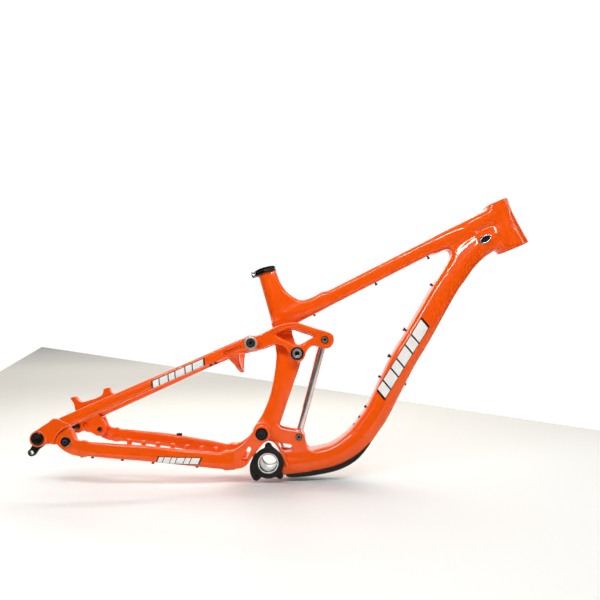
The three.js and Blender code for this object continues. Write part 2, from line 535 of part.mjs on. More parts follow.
const hangerOutline = smooth([[-447.5, 60], [-441, 69], [-431, 70.5], [-422, 63], [-420, 52], [-427, 43],
  [-436, 36], [-443, 27], [-450, 23.5], [-456, 28], [-453, 38], [-447.5, 48]], 2);
const HANGER_EYE = [-449.4, 30.2];
const HANGER_EYE_FACE = 81;
add('seatstay', 'derailleur_hanger', BLACK, cut(
  joined(plate(hangerOutline, -HANGER_OUTER, -HUB_HALF), shaft(7.2, -HANGER_EYE_FACE, -HUB_HALF, HANGER_EYE)),
  axleHole, shaft(4, -90, -60, HANGER_EYE)));
const axleCap = bolt({ shank: 11, head: 12, neck: -DROPOUT_OUTER - 1.2, face: -DROPOUT_OUTER - 3,
  end: -DROPOUT_OUTER - GAP, at: REAR_AXLE });
add('seatstay', 'hanger_bolt', BLACK, axleCap);
add('seatstay', 'thru_axle', BLACK, turned([[0, -DROPOUT_OUTER], [AXLE_RADIUS, -DROPOUT_OUTER],
  [AXLE_RADIUS, DROPOUT_OUTER + GAP], [10, DROPOUT_OUTER + GAP], [10, DROPOUT_OUTER + 2.4],
  [8, DROPOUT_OUTER + 3], [0, DROPOUT_OUTER + 3]], REAR_AXLE));

// ---------------------------------------------------------------- rocker

const rockerOutline = smooth([[-46, 245], [-44, 230], [-33, 226.5], [-16, 229], [10, 238], [25, 237.3],
  [36, 229.7], [43, 218], [47, 208], [58, 203.5], [70, 208], [74.5, 219], [80, 228], [90, 236],
  [103, 233.5], [114, 229.5], [126, 234], [131.5, 247], [125, 260.5], [92, 271], [58, 281.8],
  [43, 282], [26, 278.5], [8, 270.5], [-16, 258], [-34, 254]], 2);
const rockerWindow = smooth([[15, 258], [32, 265.5], [47, 270.5], [70, 263.5], [91, 255.5], [80, 247],
  [65, 238.5], [52, 239], [34, 248]], 2);
const rockerPlate = cut(plate(rockerOutline, -ROCKER_OUTER, -ROCKER_INNER, 2),
  plate(rockerWindow, -60, -20), shaft(6.8, -60, 0, ROCKER_PIVOT), shaft(5.3, -60, 0, STAY_PIVOT),
  shaft(4.3, -60, 0, STRUT_TOP));
addPair('rocker', 'rocker_plate', PAINT, rockerPlate);
add('rocker', 'rocker_axle', STEEL, shaft(6.5, -ROCKER_OUTER, ROCKER_OUTER, ROCKER_PIVOT));
const rockerCap = bolt({ shank: 13, head: 10, neck: -ROCKER_OUTER - 2.4, face: -ROCKER_OUTER - 4.4,
  end: -ROCKER_OUTER - GAP, socket: 4.6, at: ROCKER_PIVOT });
addPair('rocker', 'rocker_cap', BLACK, rockerCap);
add('rocker', 'shock_bolt_upper', BLACK, bolt({ shank: 4, head: 7, neck: -ROCKER_OUTER - GAP,
  face: -ROCKER_OUTER - 3, end: ROCKER_OUTER, at: STRUT_TOP }));
addPair('rocker', 'strut_spacer', ALLOY, ring(4.3, 7.5, -ROCKER_INNER + GAP, -12.4, STRUT_TOP));
addPair('rocker', 'stay_bolt', BLACK, bolt({ shank: 5, head: 8.7, neck: -STAY_EYE_OUTER - 2.6,
  face: -STAY_EYE_OUTER - 4.6, end: -ROCKER_INNER - 1, socket: 3.7, at: STAY_PIVOT }));
addPair('rocker', 'stay_washer', CREAM,
  ring(5.3, 14, -STAY_EYE_OUTER - 2.3, -STAY_EYE_OUTER - 0.4, STAY_PIVOT));

// ---------------------------------------------------------------- strut

// The strut stands between its two eyes, so its own axis is turned to that line.
const reach = [STRUT_TOP[0] - STRUT_BOTTOM[0], STRUT_TOP[1] - STRUT_BOTTOM[1]];
const STRUT_LENGTH = Math.hypot(...reach);
const strutTilt = Math.atan2(reach[0], reach[1]);
const SLEEVE_RADIUS = 8;
const ROD_RADIUS = 7.2;
const SLEEVE_START = 58;
const ROD_END = 135;
const BORE_END = 181;
const EYE_HALF = 12;

function alongStrut(profile) {
  const points = profile.map(([r, s]) => new THREE.Vector2(r, s));
  return upright(new THREE.LatheGeometry(points, TUBE_FACETS));
}
const rod = cut(
  joined(alongStrut([[0, 0], [ROD_RADIUS, 0], [ROD_RADIUS, ROD_END], [0, ROD_END]]),
    shaft(10, -EYE_HALF, EYE_HALF)),
  shaft(4.12, -20, 20));
const sleeve = cut(
  joined(alongStrut([[ROD_RADIUS + 0.15, SLEEVE_START], [SLEEVE_RADIUS, SLEEVE_START],
    [SLEEVE_RADIUS, STRUT_LENGTH], [0, STRUT_LENGTH], [0, BORE_END], [ROD_RADIUS + 0.15, BORE_END],
    [ROD_RADIUS + 0.15, SLEEVE_START]]),
  shaft(11.5, -EYE_HALF, EYE_HALF, [0, STRUT_LENGTH])),
  shaft(7, -20, 20, [0, STRUT_LENGTH]));
bodies.strut.position.set(STRUT_BOTTOM[0], 0, STRUT_BOTTOM[1]);
bodies.strut.rotation.y = strutTilt;
add('strut', 'strut_rod', STEEL, rod);
add('strut', 'strut_sleeve', STEEL, sleeve);

export default frame;
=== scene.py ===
"""Looks of a full-suspension bicycle frame: smooth welded tubes, machined pivots, paint and studio.

Lengths are millimetres unless a name says otherwise, in the frame's own axes: +X forward,
+Y to the rider's left, +Z up, origin at the centre of the bottom bracket. The drive side is -Y.
"""

import math

import bpy
import numpy as np
import openvdb as vdb
from mathutils import Matrix, Vector


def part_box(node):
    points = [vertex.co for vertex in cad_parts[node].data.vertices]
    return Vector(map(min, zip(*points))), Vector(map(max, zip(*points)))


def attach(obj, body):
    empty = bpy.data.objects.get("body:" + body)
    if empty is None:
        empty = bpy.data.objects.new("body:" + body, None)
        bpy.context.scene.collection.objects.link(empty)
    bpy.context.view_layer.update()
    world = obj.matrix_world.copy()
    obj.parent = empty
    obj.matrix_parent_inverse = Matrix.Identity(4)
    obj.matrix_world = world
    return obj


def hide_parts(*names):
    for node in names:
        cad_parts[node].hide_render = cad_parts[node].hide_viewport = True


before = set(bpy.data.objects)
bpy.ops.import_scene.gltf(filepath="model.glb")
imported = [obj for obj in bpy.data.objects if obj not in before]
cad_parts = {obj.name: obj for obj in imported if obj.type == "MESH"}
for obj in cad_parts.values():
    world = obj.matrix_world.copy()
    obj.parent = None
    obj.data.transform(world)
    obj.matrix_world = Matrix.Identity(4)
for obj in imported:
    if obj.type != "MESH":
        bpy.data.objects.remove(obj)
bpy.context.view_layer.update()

MM = 0.001
COARSE = 1.0
FAR = 60.0  # distance reported well away from a shape
REACH = 16.0  # how far from a shape its distance is worked out
POINTS_AT_ONCE = 150000
TUBE_END = 0.3  # a tube stops this far past its last station
BLOCK = 4  # cells along each side of a coarse block
BAND = 3  # cells on each side of a surface that carry its true distance

# ------------------------------------------------------------------ pivots and main sizes

REAR_AXLE = (-434.5, 57.5)
HORST = (-381.5, 52.0)
MAIN = (-12.3, 60.0)
ROCKER = (58.0, 220.0)
STAY = (-33.0, 240.4)
STRUT_TOP = (113.0, 247.4)
STRUT_BOTTOM = (61.3, 51.3)
HEAD_BOTTOM = (506.3, 438.4)
HEAD_TILT = math.radians(21.6)
HEAD_LENGTH = 100.0
SEAT_TOP = (-8.2, 394.6)
SEAT_TILT = math.radians(15.7)
SEAT_RADIUS = 17.45
SEAT_BORE = 15.45
SEAT_LENGTH = 130.0
BB_RADIUS = 21.0

# ------------------------------------------------------------------ distances to shapes


def catmull(points, per_span, closed=False):
    """Rows of points joined by a Catmull-Rom curve, per_span steps to each span."""
    p = np.asarray(points, float)
    n = len(p)
    if closed:
        ends = [np.roll(p, 1, 0), p, np.roll(p, -1, 0), np.roll(p, -2, 0)]
        spans = range(n)
    else:
        q = np.vstack([2 * p[0] - p[1], p, 2 * p[-1] - p[-2]])
        ends = [q[:-3], q[1:-2], q[2:-1], q[3:]]
        spans = range(n - 1)
    rows = []
    for i in spans:
        a, b, c, d = (e[i] for e in ends)
        for t in np.arange(per_span) / per_span:
            rows.append(
                0.5 * (2 * b + (c - a) * t + (2 * a - 5 * b + 4 * c - d) * t**2 + (3 * b - a - 3 * c + d) * t**3)
            )
    if not closed:
        rows.append(p[-1])
    return np.array(rows)


def smin(a, b, k):
    """Union with a fillet of about k."""
    return np.minimum(a, b) - np.maximum(k - np.abs(a - b), 0) ** 2 / (4 * k)


def smax(a, b, k):
    """Intersection with an edge rounded by about k."""
    return np.maximum(a, b) + np.maximum(k - np.abs(a - b), 0) ** 2 / (4 * k)


def dot(a, b):
    return np.einsum("ij,ij->i", a, b)


def rounded(corner):
    """Section of a flat-sided tube; corner is the share of its smaller half that is rounded."""

    def section(a, b, h, w):
        r = corner * np.minimum(h, w)
        qa, qb = np.abs(a) - h + r, np.abs(b) - w + r
        return np.minimum(np.maximum(qa, qb), 0) + np.hypot(np.maximum(qa, 0), np.maximum(qb, 0)) - r

    return section


def creased(tilt, corner=15.0, crease=3.0, ridge=0.0):
    """Section with a lengthwise crease on each side: both side faces lean in by tilt degrees."""
    cos, sin = math.cos(math.radians(tilt)), math.sin(math.radians(tilt))

    def section(a, b, h, w):
        up = a - ridge * h
        side = np.abs(b) * cos - w * cos
        flank = smax(side + up * sin, side - up * sin, crease)
        return smax(flank, np.abs(a) - h, corner)

    return section


class Tube:
    """Distance to a tube through stations [x, y, z, height, width]."""

    def __init__(self, stations, section, per_span=10):
        rows = catmull(stations, per_span)
        self.c, self.h, self.w = rows[:, :3], rows[:, 3] / 2, rows[:, 4] / 2
        t = np.gradient(self.c, axis=0)
        self.t = t / np.linalg.norm(t, axis=1)[:, None]
        up = np.cross(self.t, (0.0, 1.0, 0.0))
        self.up = up / np.linalg.norm(up, axis=1)[:, None]
        self.side = np.cross(self.up, self.t)
        self.pace = np.linalg.norm(np.gradient(self.c, axis=0), axis=1)
        reach = max(self.h.max(), self.w.max()) + REACH
        self.lo, self.hi = self.c.min(0) - reach, self.c.max(0) + reach
        self.section = section

    def follow(self, q, s):
        """Span, share of the span, offset from the path and its direction, for points q at places s."""
        i = np.minimum(s.astype(int), len(self.c) - 2)
        f = (s - i)[:, None]
        off = q - (self.c[i] * (1 - f) + self.c[i + 1] * f)
        return i, f, off, self.t[i] * (1 - f) + self.t[i + 1] * f

    def __call__(self, p):
        out = np.full(len(p), FAR)
        near = np.flatnonzero(np.all((p > self.lo) & (p < self.hi), axis=1))
        top = len(self.c) - 1.0
        weight = (self.c**2).sum(1)
        for part in np.array_split(near, len(near) // POINTS_AT_ONCE + 1):
            if not len(part):
                continue
            q = p[part]
            s = (weight - 2 * q @ self.c.T).argmin(1).astype(float)
            for _ in range(4):
                i, f, off, tangent = self.follow(q, s)
                s = np.clip(s + 0.9 * dot(off, tangent) / self.pace[i], 0, top)
            i, f, off, tangent = self.follow(q, s)
            up, side = (v[i] * (1 - f) + v[i + 1] * f for v in (self.up, self.side))
            h, w = (v[i] * (1 - f[:, 0]) + v[i + 1] * f[:, 0] for v in (self.h, self.w))
            d = self.section(dot(off, up), dot(off, side), h, w)
            beyond = np.abs(dot(off, tangent))
            out[part] = np.where(beyond > TUBE_END, smax(d, beyond - TUBE_END, 2.0), d)
        return out


class Outline:
    """Signed distance to a closed outline in the side view, from a table of fine steps."""

    FINE = 0.6

    def __init__(self, points, per_span=6):
        ring = catmull(points, per_span, closed=True) if per_span else np.asarray(points, float)
        self.lo = ring.min(0) - REACH
        size = np.ceil((ring.max(0) + REACH - self.lo) / self.FINE).astype(int) + 2
        gx, gz = np.meshgrid(*[self.lo[k] + self.FINE * np.arange(size[k]) for k in (0, 1)], indexing="ij")
        q = np.stack([gx.ravel(), gz.ravel()], 1)
        best = np.full(len(q), 1e9)
        inside = np.zeros(len(q), bool)
        for a, b in zip(ring, np.roll(ring, -1, 0)):
            ab, aq = b - a, q - a
            u = np.clip(aq @ ab / (ab @ ab), 0, 1)
            best = np.minimum(best, ((aq - u[:, None] * ab) ** 2).sum(1))
            if a[1] != b[1]:
                over = (a[1] > q[:, 1]) != (b[1] > q[:, 1])
                inside ^= over & (q[:, 0] < ab[0] * (q[:, 1] - a[1]) / ab[1] + a[0])
        self.table = (np.sqrt(best) * np.where(inside, -1, 1)).reshape(size)

    def __call__(self, x, z):
        size = self.table.shape
        fx = np.clip((x - self.lo[0]) / self.FINE, 0, size[0] - 1.001)
        fz = np.clip((z - self.lo[1]) / self.FINE, 0, size[1] - 1.001)
        i, j = fx.astype(int), fz.astype(int)
        u, v = fx - i, fz - j
        t = self.table
        return (t[i, j] * (1 - u) + t[i + 1, j] * u) * (1 - v) + (t[i, j + 1] * (1 - u) + t[i + 1, j + 1] * u) * v


def slab(flat, y, low, high, edge):
    """A flat distance pushed through Y from low to high, with its edges rounded by edge."""
    a, b = flat + edge, np.abs(y - (low + high) / 2) - (high - low) / 2 + edge
    return np.minimum(np.maximum(a, b), 0) + np.hypot(np.maximum(a, 0), np.maximum(b, 0)) - edge


def plate(outline, low, high, edge=1.5):
    return lambda p: slab(outline(p[:, 0], p[:, 2]), p[:, 1], low, high, edge)


def cut(d, p, edge, *holes):
    """Takes each hole out of d, with its rim rounded by edge."""
    for hole in holes:
        d = smax(d, -hole(p), edge)
    return d


def boss(at, radius, low, high, edge=1.5):
    return lambda p: slab(np.hypot(p[:, 0] - at[0], p[:, 2] - at[1]) - radius, p[:, 1], low, high, edge)


def bore(at, radius):
    return lambda p: np.hypot(p[:, 0] - at[0], p[:, 2] - at[1]) - radius


def slot_hole(a, b, width):
    a, b = np.array(a, float), np.array(b, float)
    ab = b - a

    def distance(p):
        q = p[:, [0, 2]] - a
        u = np.clip(q @ ab / (ab @ ab), 0, 1)
        return np.hypot(*(q - u[:, None] * ab).T) - width / 2

    return distance


def lean_frame(foot, tilt):
    """Maps points to (distance up a leaning axis, distance from it)."""
    axis = np.array([-math.sin(tilt), 0, math.cos(tilt)])
    base = np.array([foot[0], 0, foot[1]])

    def to_axis(p):
        off = p - base
        s = off @ axis
        return s, np.linalg.norm(off - s[:, None] * axis, axis=1)

    return to_axis


def rounded_box(offset, half, edge):
    """Distance to a box of size half each way round zero offset, grown by a rounded edge."""
    q = np.abs(offset) - half
    return np.linalg.norm(np.maximum(q, 0), axis=1) + np.minimum(q.max(1), 0) - edge


def mirrored(shape):
    return lambda p: shape(p * (1, -1, 1))


# ------------------------------------------------------------------ surface from a distance


def gradient(shape, p, eps=0.2):
    g = np.empty_like(p)
    for k in range(3):
        step = np.zeros(3)
        step[k] = eps
        g[:, k] = (shape(p + step) - shape(p - step)) / (2 * eps)
    return g


def surfaced(name, shape, low, high, step):
    """A closed mesh object of the surface where shape is zero, inside the box low..high."""
    step *= COARSE
    low, high = np.array(low, float), np.array(high, float)
    blocks = np.ceil((high - low) / (BLOCK * step)).astype(int)
    centres = np.stack(np.meshgrid(*[np.arange(n) for n in blocks], indexing="ij"), -1).reshape(-1, 3)
    coarse = shape(low + (centres * BLOCK + (BLOCK - 1) / 2) * step)
    grid = np.where(coarse > 0, BAND * step, -BAND * step).astype(np.float32).reshape(blocks)
    for axis in range(3):
        grid = np.repeat(grid, BLOCK, axis)
    active = centres[np.abs(coarse) < 2 * BAND * step]
    inner = np.stack(np.meshgrid(*[np.arange(BLOCK)] * 3, indexing="ij"), -1).reshape(-1, 3)
    for part in np.array_split(active, len(active) // 8000 + 1):
        cells = (part[:, None] * BLOCK + inner[None]).reshape(-1, 3)
        grid[tuple(cells.T)] = np.clip(shape(low + cells * step), -BAND * step, BAND * step)
    volume = vdb.FloatGrid(BAND * step)
    volume.copyFromArray(grid)
    points, quads = volume.convertToQuads()
    points = low + points.astype(float) * step
    for _ in range(3):
        g = gradient(shape, points)
        d = shape(points)
        move = -d[:, None] * g / np.maximum((g**2).sum(1), 0.25)[:, None]
        length = np.linalg.norm(move, axis=1)[:, None]
        points += move * np.minimum(1, 0.6 * step / np.maximum(length, 1e-9))
    mesh = bpy.data.meshes.new(name)
    mesh.from_pydata((points * MM).tolist(), [], quads.tolist())
    mesh.validate()
    normals = gradient(shape, points, 0.35)
    normals /= np.maximum(np.linalg.norm(normals, axis=1), 1e-9)[:, None]
    if len(mesh.vertices) == len(normals):
        mesh.normals_split_custom_set_from_vertices(normals.tolist())
    mesh.polygons.foreach_set("use_smooth", [True] * len(mesh.polygons))
    return placed(name, mesh)


def placed(name, mesh):
    obj = bpy.data.objects.new(name, mesh)
    bpy.context.scene.collection.objects.link(obj)
    return obj


def mirror_copy(obj, name):
    """The mirror image of a piece across the middle plane, with its own mesh."""
    mesh = obj.data
    count = len(mesh.vertices)
    co = np.empty(count * 3)
    mesh.vertices.foreach_get("co", co)
    co = co.reshape(-1, 3) * (1, -1, 1)
    faces = [tuple(reversed(f.vertices[:])) for f in mesh.polygons]
    made = bpy.data.meshes.new(name)
    made.from_pydata(co.tolist(), [], faces)
    if mesh.has_custom_normals:
        normals = np.empty(count * 3)
        mesh.vertices.foreach_get("normal", normals)
        made.normals_split_custom_set_from_vertices((normals.reshape(-1, 3) * (1, -1, 1)).tolist())
        made.polygons.foreach_set("use_smooth", [True] * len(made.polygons))
    else:
        finish_hard(made)
    return placed(name, made)


# ------------------------------------------------------------------ turned and cut hardware

AROUND = 72  # points round a turned piece


def finish_hard(mesh, angle=28.0):
    mesh.polygons.foreach_set("use_smooth", [True] * len(mesh.polygons))
    mesh.set_sharp_from_angle(angle=math.radians(angle))
    mesh.update()


def softened(profile, size=0.35):
    """A profile whose inner corners are cut by a small arc."""
    out = [profile[0]]
    for before, at, after in zip(profile, profile[1:], profile[2:]):
        at2, b2, a2 = (np.array(v[:2], float) for v in (at, before, after))
        room_b, room_a = np.linalg.norm(b2 - at2), np.linalg.norm(a2 - at2)
        cut = min(size, room_b * 0.4, room_a * 0.4)
        if cut < 0.02 or len(at) > 2 or at[0] == 0:
            out.append(at)
            continue
        start, end = at2 + (b2 - at2) / room_b * cut, at2 + (a2 - at2) / room_a * cut
        for t in (0, 0.25, 0.5, 0.75, 1):
            out.append(tuple((1 - t) ** 2 * start + 2 * t * (1 - t) * at2 + t * t * end))
    out.append(profile[-1])
    return out


def turned(name, profile, place, around=AROUND, soften=0.35):
    """Turns [radius, height] points about an axis; a third value of 6 makes that ring a hexagon.

    place is the matrix from the turning axis (Z) to the frame's axes, in millimetres.
    """
    rows = softened(profile, soften) if soften else profile
    angles = 2 * np.pi * np.arange(around) / around
    verts, rings = [], []
    for row in rows:
        r, s = row[0], row[1]
        if r == 0:
            rings.append([len(verts)])
            verts.append((0, 0, s))
            continue
        radius = np.full(around, r)
        if len(row) > 2:
            radius = r * math.cos(math.pi / 6) / np.cos(np.mod(angles, np.pi / 3) - np.pi / 6)
        rings.append(list(range(len(verts), len(verts) + around)))
        verts += list(zip(radius * np.cos(angles), radius * np.sin(angles), [s] * around))
    faces = []
    for a, b in zip(rings, rings[1:]):
        for k in range(around):
            n = (k + 1) % around
            if len(a) == 1 and len(b) == 1:
                continue
            if len(a) == 1:
                faces.append((a[0], b[n], b[k]))
            elif len(b) == 1:
                faces.append((a[k], a[n], b[0]))
            else:
                faces.append((a[k], a[n], b[n], b[k]))
    mesh = bpy.data.meshes.new(name)
    place = Matrix(place)
    mesh.from_pydata([(place @ Vector(v)) * MM for v in verts], [], faces)
    finish_hard(mesh)
    return placed(name, mesh)


def across(at):
    """Turning axis along -Y, out of the drive side, at a point of the side view."""
    return Matrix.Translation((at[0], 0, at[1])) @ Matrix.Rotation(math.pi / 2, 4, "X")


def leaning(foot, tilt):
    return Matrix.Translation((foot[0], 0, foot[1])) @ Matrix.Rotation(-tilt, 4, "Y")


def bolt(name, at, back, neck, face, shank, head, socket, depth=3.0, dome=0.4):
    """A bolt along Y: shank from back to neck, then a head up to face with a hexagon socket."""
    profile = [
        (0, back), (shank, back), (shank, neck), (head, neck), (head, face - dome), (head - 0.8, face),
        (socket + 0.7, face), (socket, face - 0.3, 6), (socket, face - depth, 6), (0, face - depth - 0.5),
    ]
    return turned(name, profile, across(at))


def tube_ring(name, at, inner, outer, low, high, edge=0.4):
    profile = [(inner, low), (outer, low), (outer, high), (inner, high), (inner, low)]
    return turned(name, softened([*profile, profile[1]], edge)[1:], across(at), soften=0)


# ------------------------------------------------------------------ materials


class Shader:
    """A short way to write a node material; coordinates are those of the piece."""

    def __init__(self, name):
        self.mat = bpy.data.materials.new(name)
        self.mat.use_nodes = True
        self.tree = self.mat.node_tree
        self.tree.nodes.clear()
        self.bsdf = self.node("ShaderNodeBsdfPrincipled")
        out = self.node("ShaderNodeOutputMaterial")
        self.link(self.bsdf.outputs["BSDF"], out.inputs["Surface"])
        coords = self.node("ShaderNodeTexCoord")
        self.at = coords.outputs["Object"]
        self.facing = coords.outputs["Normal"]

    def node(self, kind, **values):
        made = self.tree.nodes.new(kind)
        for key, value in values.items():
            setattr(made, key, value)
        return made

    def link(self, a, b):
        self.tree.links.new(a, b)

    def put(self, socket, value):
        if isinstance(value, bpy.types.NodeSocket):
            self.link(value, socket)
        else:
            socket.default_value = value

    def set(self, **values):
        for key, value in values.items():
            self.put(self.bsdf.inputs[key.replace("_", " ")], value)

    def math(self, kind, a, b=0.0, c=0.0):
        made = self.node("ShaderNodeMath", operation=kind)
        for socket, value in zip(made.inputs, (a, b, c)):
            self.put(socket, value)
        return made.outputs[0]

    def noise(self, scale, detail=4.0, roughness=0.6, vector=None):
        made = self.node("ShaderNodeTexNoise")
        self.put(made.inputs["Vector"], vector or self.at)
        made.inputs["Scale"].default_value = scale
        made.inputs["Detail"].default_value = detail
        made.inputs["Roughness"].default_value = roughness
        return made.outputs["Fac"]

    def stretched(self, scale):
        made = self.node("ShaderNodeMapping")
        self.put(made.inputs["Vector"], self.at)
        made.inputs["Scale"].default_value = scale
        return made.outputs["Vector"]

    def ramp(self, value, low, high, a, b):
        made = self.node("ShaderNodeMapRange")
        for key, item in (("Value", value), ("From Min", low), ("From Max", high), ("To Min", a), ("To Max", b)):
            self.put(made.inputs[key], item)
        return made.outputs["Result"]

    def mix(self, factor, a, b):
        made = self.node("ShaderNodeMix", data_type="RGBA")
        self.put(made.inputs["Factor"], factor)
        self.put(made.inputs["A"], a)
        self.put(made.inputs["B"], b)
        return made.outputs["Result"]

    def bump(self, height, strength, distance):
        made = self.node("ShaderNodeBump")
        made.inputs["Strength"].default_value = strength
        made.inputs["Distance"].default_value = distance
        self.put(made.inputs["Height"], height)
        return made.outputs["Normal"]

    def pointed(self, low, high):
        """0 to 1 as the surface goes from low to high pointiness: above 0.5 is an edge, below a hollow."""
        return self.ramp(self.node("ShaderNodeNewGeometry").outputs["Pointiness"], low, high, 0.0, 1.0)

    def edges(self):
        return self.pointed(0.52, 0.60)

    # Mask of concave hollows; the paint uses it to paint shade into creases and joints.
    def hollows(self):
        return self.pointed(0.47, 0.42)

    def share(self, amount, mask, color, other):
        """Mixes other into color by amount where mask is 1."""
        return self.mix(self.math("MULTIPLY", mask, amount), color, other)

    def split(self, vector):
        made = self.node("ShaderNodeSeparateXYZ")
        self.put(made.inputs[0], vector)
        return made.outputs

    def radius_from(self, at):
        """Distance in metres from an axis along Y through a point of the side view."""
        place = self.split(self.at)
        dx = self.math("SUBTRACT", place["X"], at[0] * MM)
        dz = self.math("SUBTRACT", place["Z"], at[1] * MM)
        return self.math("SQRT", self.math("ADD", self.math("MULTIPLY", dx, dx), self.math("MULTIPLY", dz, dz)))

    def turning_marks(self, radius, pitch):
        return self.math("SINE", self.math("MULTIPLY", radius, 2 * math.pi / (pitch * MM)))


def rgb(r, g, b):
    return (r, g, b, 1.0)


ORANGE = rgb(0.93, 0.098, 0.0005)
ORANGE_DEEP = rgb(0.74, 0.050, 0.0005)
# Cream orange for the painted highlight along sharp paint edges.
ORANGE_EDGE_HIGHLIGHT = rgb(0.96, 0.26, 0.07)

# The white blocks of the graphic: (middle, reach to each side), as shares of the row.
BLOCKS = [(0.075, 0.055), (0.225, 0.075), (0.375, 0.055), (0.535, 0.085), (0.70, 0.06), (0.88, 0.10)]
BLOCK_SLANT = 0.36  # how far a block leans for its height
RIM_MM = 1.3  # dark edge round the blocks


def block_band(sh, start, end, height):
    """A row of white slanted blocks on a dark band from start to end in the side view.

    Returns (share of white, share of dark), both limited to faces that look outward.
    """
    start, end = np.array(start, float) * MM, np.array(end, float) * MM
    length = float(np.linalg.norm(end - start))
    along = (end - start) / length
    place, facing = sh.split(sh.at), sh.split(sh.facing)
    dx = sh.math("SUBTRACT", place["X"], start[0])
    dz = sh.math("SUBTRACT", place["Z"], start[1])
    u = sh.math("ADD", sh.math("MULTIPLY", dx, along[0]), sh.math("MULTIPLY", dz, along[1]))
    v = sh.math("SUBTRACT", sh.math("MULTIPLY", dz, along[0]), sh.math("MULTIPLY", dx, along[1]))
    t = sh.math("DIVIDE", sh.math("SUBTRACT", u, sh.math("MULTIPLY", v, BLOCK_SLANT)), length)
    off = sh.math("ABSOLUTE", v)
    half, rim = height * MM / 2, RIM_MM * MM
    white = 0.0
    for middle, reach in BLOCKS:
        inside = sh.math("LESS_THAN", sh.math("ABSOLUTE", sh.math("SUBTRACT", t, middle)), reach)
        white = sh.math("MAXIMUM", white, inside)
    white = sh.math("MULTIPLY", white, sh.math("LESS_THAN", off, half - rim))
    in_row = sh.math("LESS_THAN", sh.math("ABSOLUTE", sh.math("SUBTRACT", t, 0.5)), 0.5 + rim / length)
    dark = sh.math("MULTIPLY", in_row, sh.math("LESS_THAN", off, half))
    outward = sh.math("MULTIPLY", facing["Y"], sh.math("SIGN", place["Y"]))
    shown = sh.math("GREATER_THAN", outward, 0.5)
    return sh.math("MULTIPLY", white, shown), sh.math("MULTIPLY", dark, shown)


def paint(name, band=None):
    """Glossy orange paint under clear coat, with painted shade in its hollows, a painted highlight on its sharp
    edges, and a letter-free graphic if band is given.
    """
    sh = Shader(name)
    tone = sh.ramp(sh.noise(9.0, 3.0), 0.35, 0.65, 0.0, 0.16)
    color = sh.mix(tone, ORANGE, ORANGE_DEEP)
    # Painted shade: hollows, creases and weld fillets darken towards ORANGE_DEEP, where shade falls.
    color = sh.share(0.55, sh.hollows(), color, ORANGE_DEEP)
    # Painted highlight: sharp edges are lightened towards a cream orange, standing in for the bright rims of the
    # clear coat.
    color = sh.share(0.30, sh.edges(), color, ORANGE_EDGE_HIGHLIGHT)
    rough = sh.ramp(sh.noise(60.0, 5.0), 0.3, 0.7, 0.20, 0.32)
    if band:
        white, dark = block_band(sh, *band)
        color = sh.mix(dark, color, rgb(0.012, 0.012, 0.013))
        color = sh.mix(white, color, rgb(0.86, 0.85, 0.82))
    peel = sh.noise(420.0, 2.0)
    sh.set(Base_Color=color, Roughness=rough, Specular_IOR_Level=0.08)
    sh.set(Coat_Weight=1.0, Coat_Roughness=0.04, Coat_IOR=1.45)
    sh.set(Normal=sh.bump(peel, 0.03, 0.00015), Coat_Normal=sh.bump(peel, 0.02, 0.00005))
    return sh.mat


def black_anodised(name="anodised_black", base=0.016, rough=0.28):
    sh = Shader(name)
    fine = sh.noise(900.0, 2.0, vector=sh.stretched((1.0, 0.05, 1.0)))
    color = sh.share(0.25, sh.edges(), rgb(base, base, base * 1.06), rgb(0.22, 0.22, 0.23))
    sh.set(Base_Color=color, Metallic=0.75)
    sh.set(Roughness=sh.ramp(fine, 0.3, 0.7, rough - 0.06, rough + 0.08))
    sh.set(Coat_Weight=0.35, Coat_Roughness=0.12, Normal=sh.bump(fine, 0.08, 0.0002))
    return sh.mat


def machined(name, color, rough, lathe_at=None, strength=0.25, shaded_inside_radius=0):
    """Bare metal with turning marks round an axis along Y, or lengthwise draw marks, darkened inside a given radius
    as painted shade.
    """
    sh = Shader(name)
    if lathe_at:
        radius = sh.radius_from(lathe_at)
        marks = sh.turning_marks(radius, 0.35)
    else:
        marks = sh.noise(300.0, 2.0, vector=sh.stretched((1.0, 1.0, 0.04)))
        strength *= 0.3
    grime = sh.noise(45.0, 4.0)
    # Painted shade: inside this radius the metal turns dark grey, standing in for the shade inside a bore.
    if shaded_inside_radius:
        inside = sh.ramp(radius, (shaded_inside_radius - 0.3) * MM, (shaded_inside_radius + 0.3) * MM, 1.0, 0.0)
        color = sh.mix(inside, color, rgb(0.10, 0.10, 0.10))
    tint = sh.mix(sh.ramp(grime, 0.4, 0.7, 0.0, 0.25), color, rgb(0.45, 0.44, 0.42))
    sh.set(Base_Color=tint, Metallic=1.0, Roughness=sh.ramp(grime, 0.3, 0.7, rough * 0.8, rough * 1.3))
    sh.set(Normal=sh.bump(marks, strength, 0.00004))
    return sh.mat


def ringed(name, at, rings, rough=0.3):
    """Metal in rings round an axis along Y; rings holds (outer radius, colour), inner first."""
    sh = Shader(name)
    radius = sh.radius_from(at)
    color = rings[-1][1]
    for outer, inner_color in reversed(rings[:-1]):
        inside = sh.ramp(radius, (outer - 0.15) * MM, (outer + 0.15) * MM, 1.0, 0.0)
        color = sh.mix(inside, color, inner_color)
    marks = sh.turning_marks(radius, 0.3)
    wear = sh.noise(120.0, 4.0)
    color = sh.share(0.12, sh.edges(), color, rgb(0.55, 0.55, 0.55))
    sh.set(Base_Color=color, Metallic=0.9, Roughness=sh.ramp(wear, 0.3, 0.7, rough * 0.8, rough * 1.3))
    sh.set(Normal=sh.bump(marks, 0.12, 0.00003))
    return sh.mat


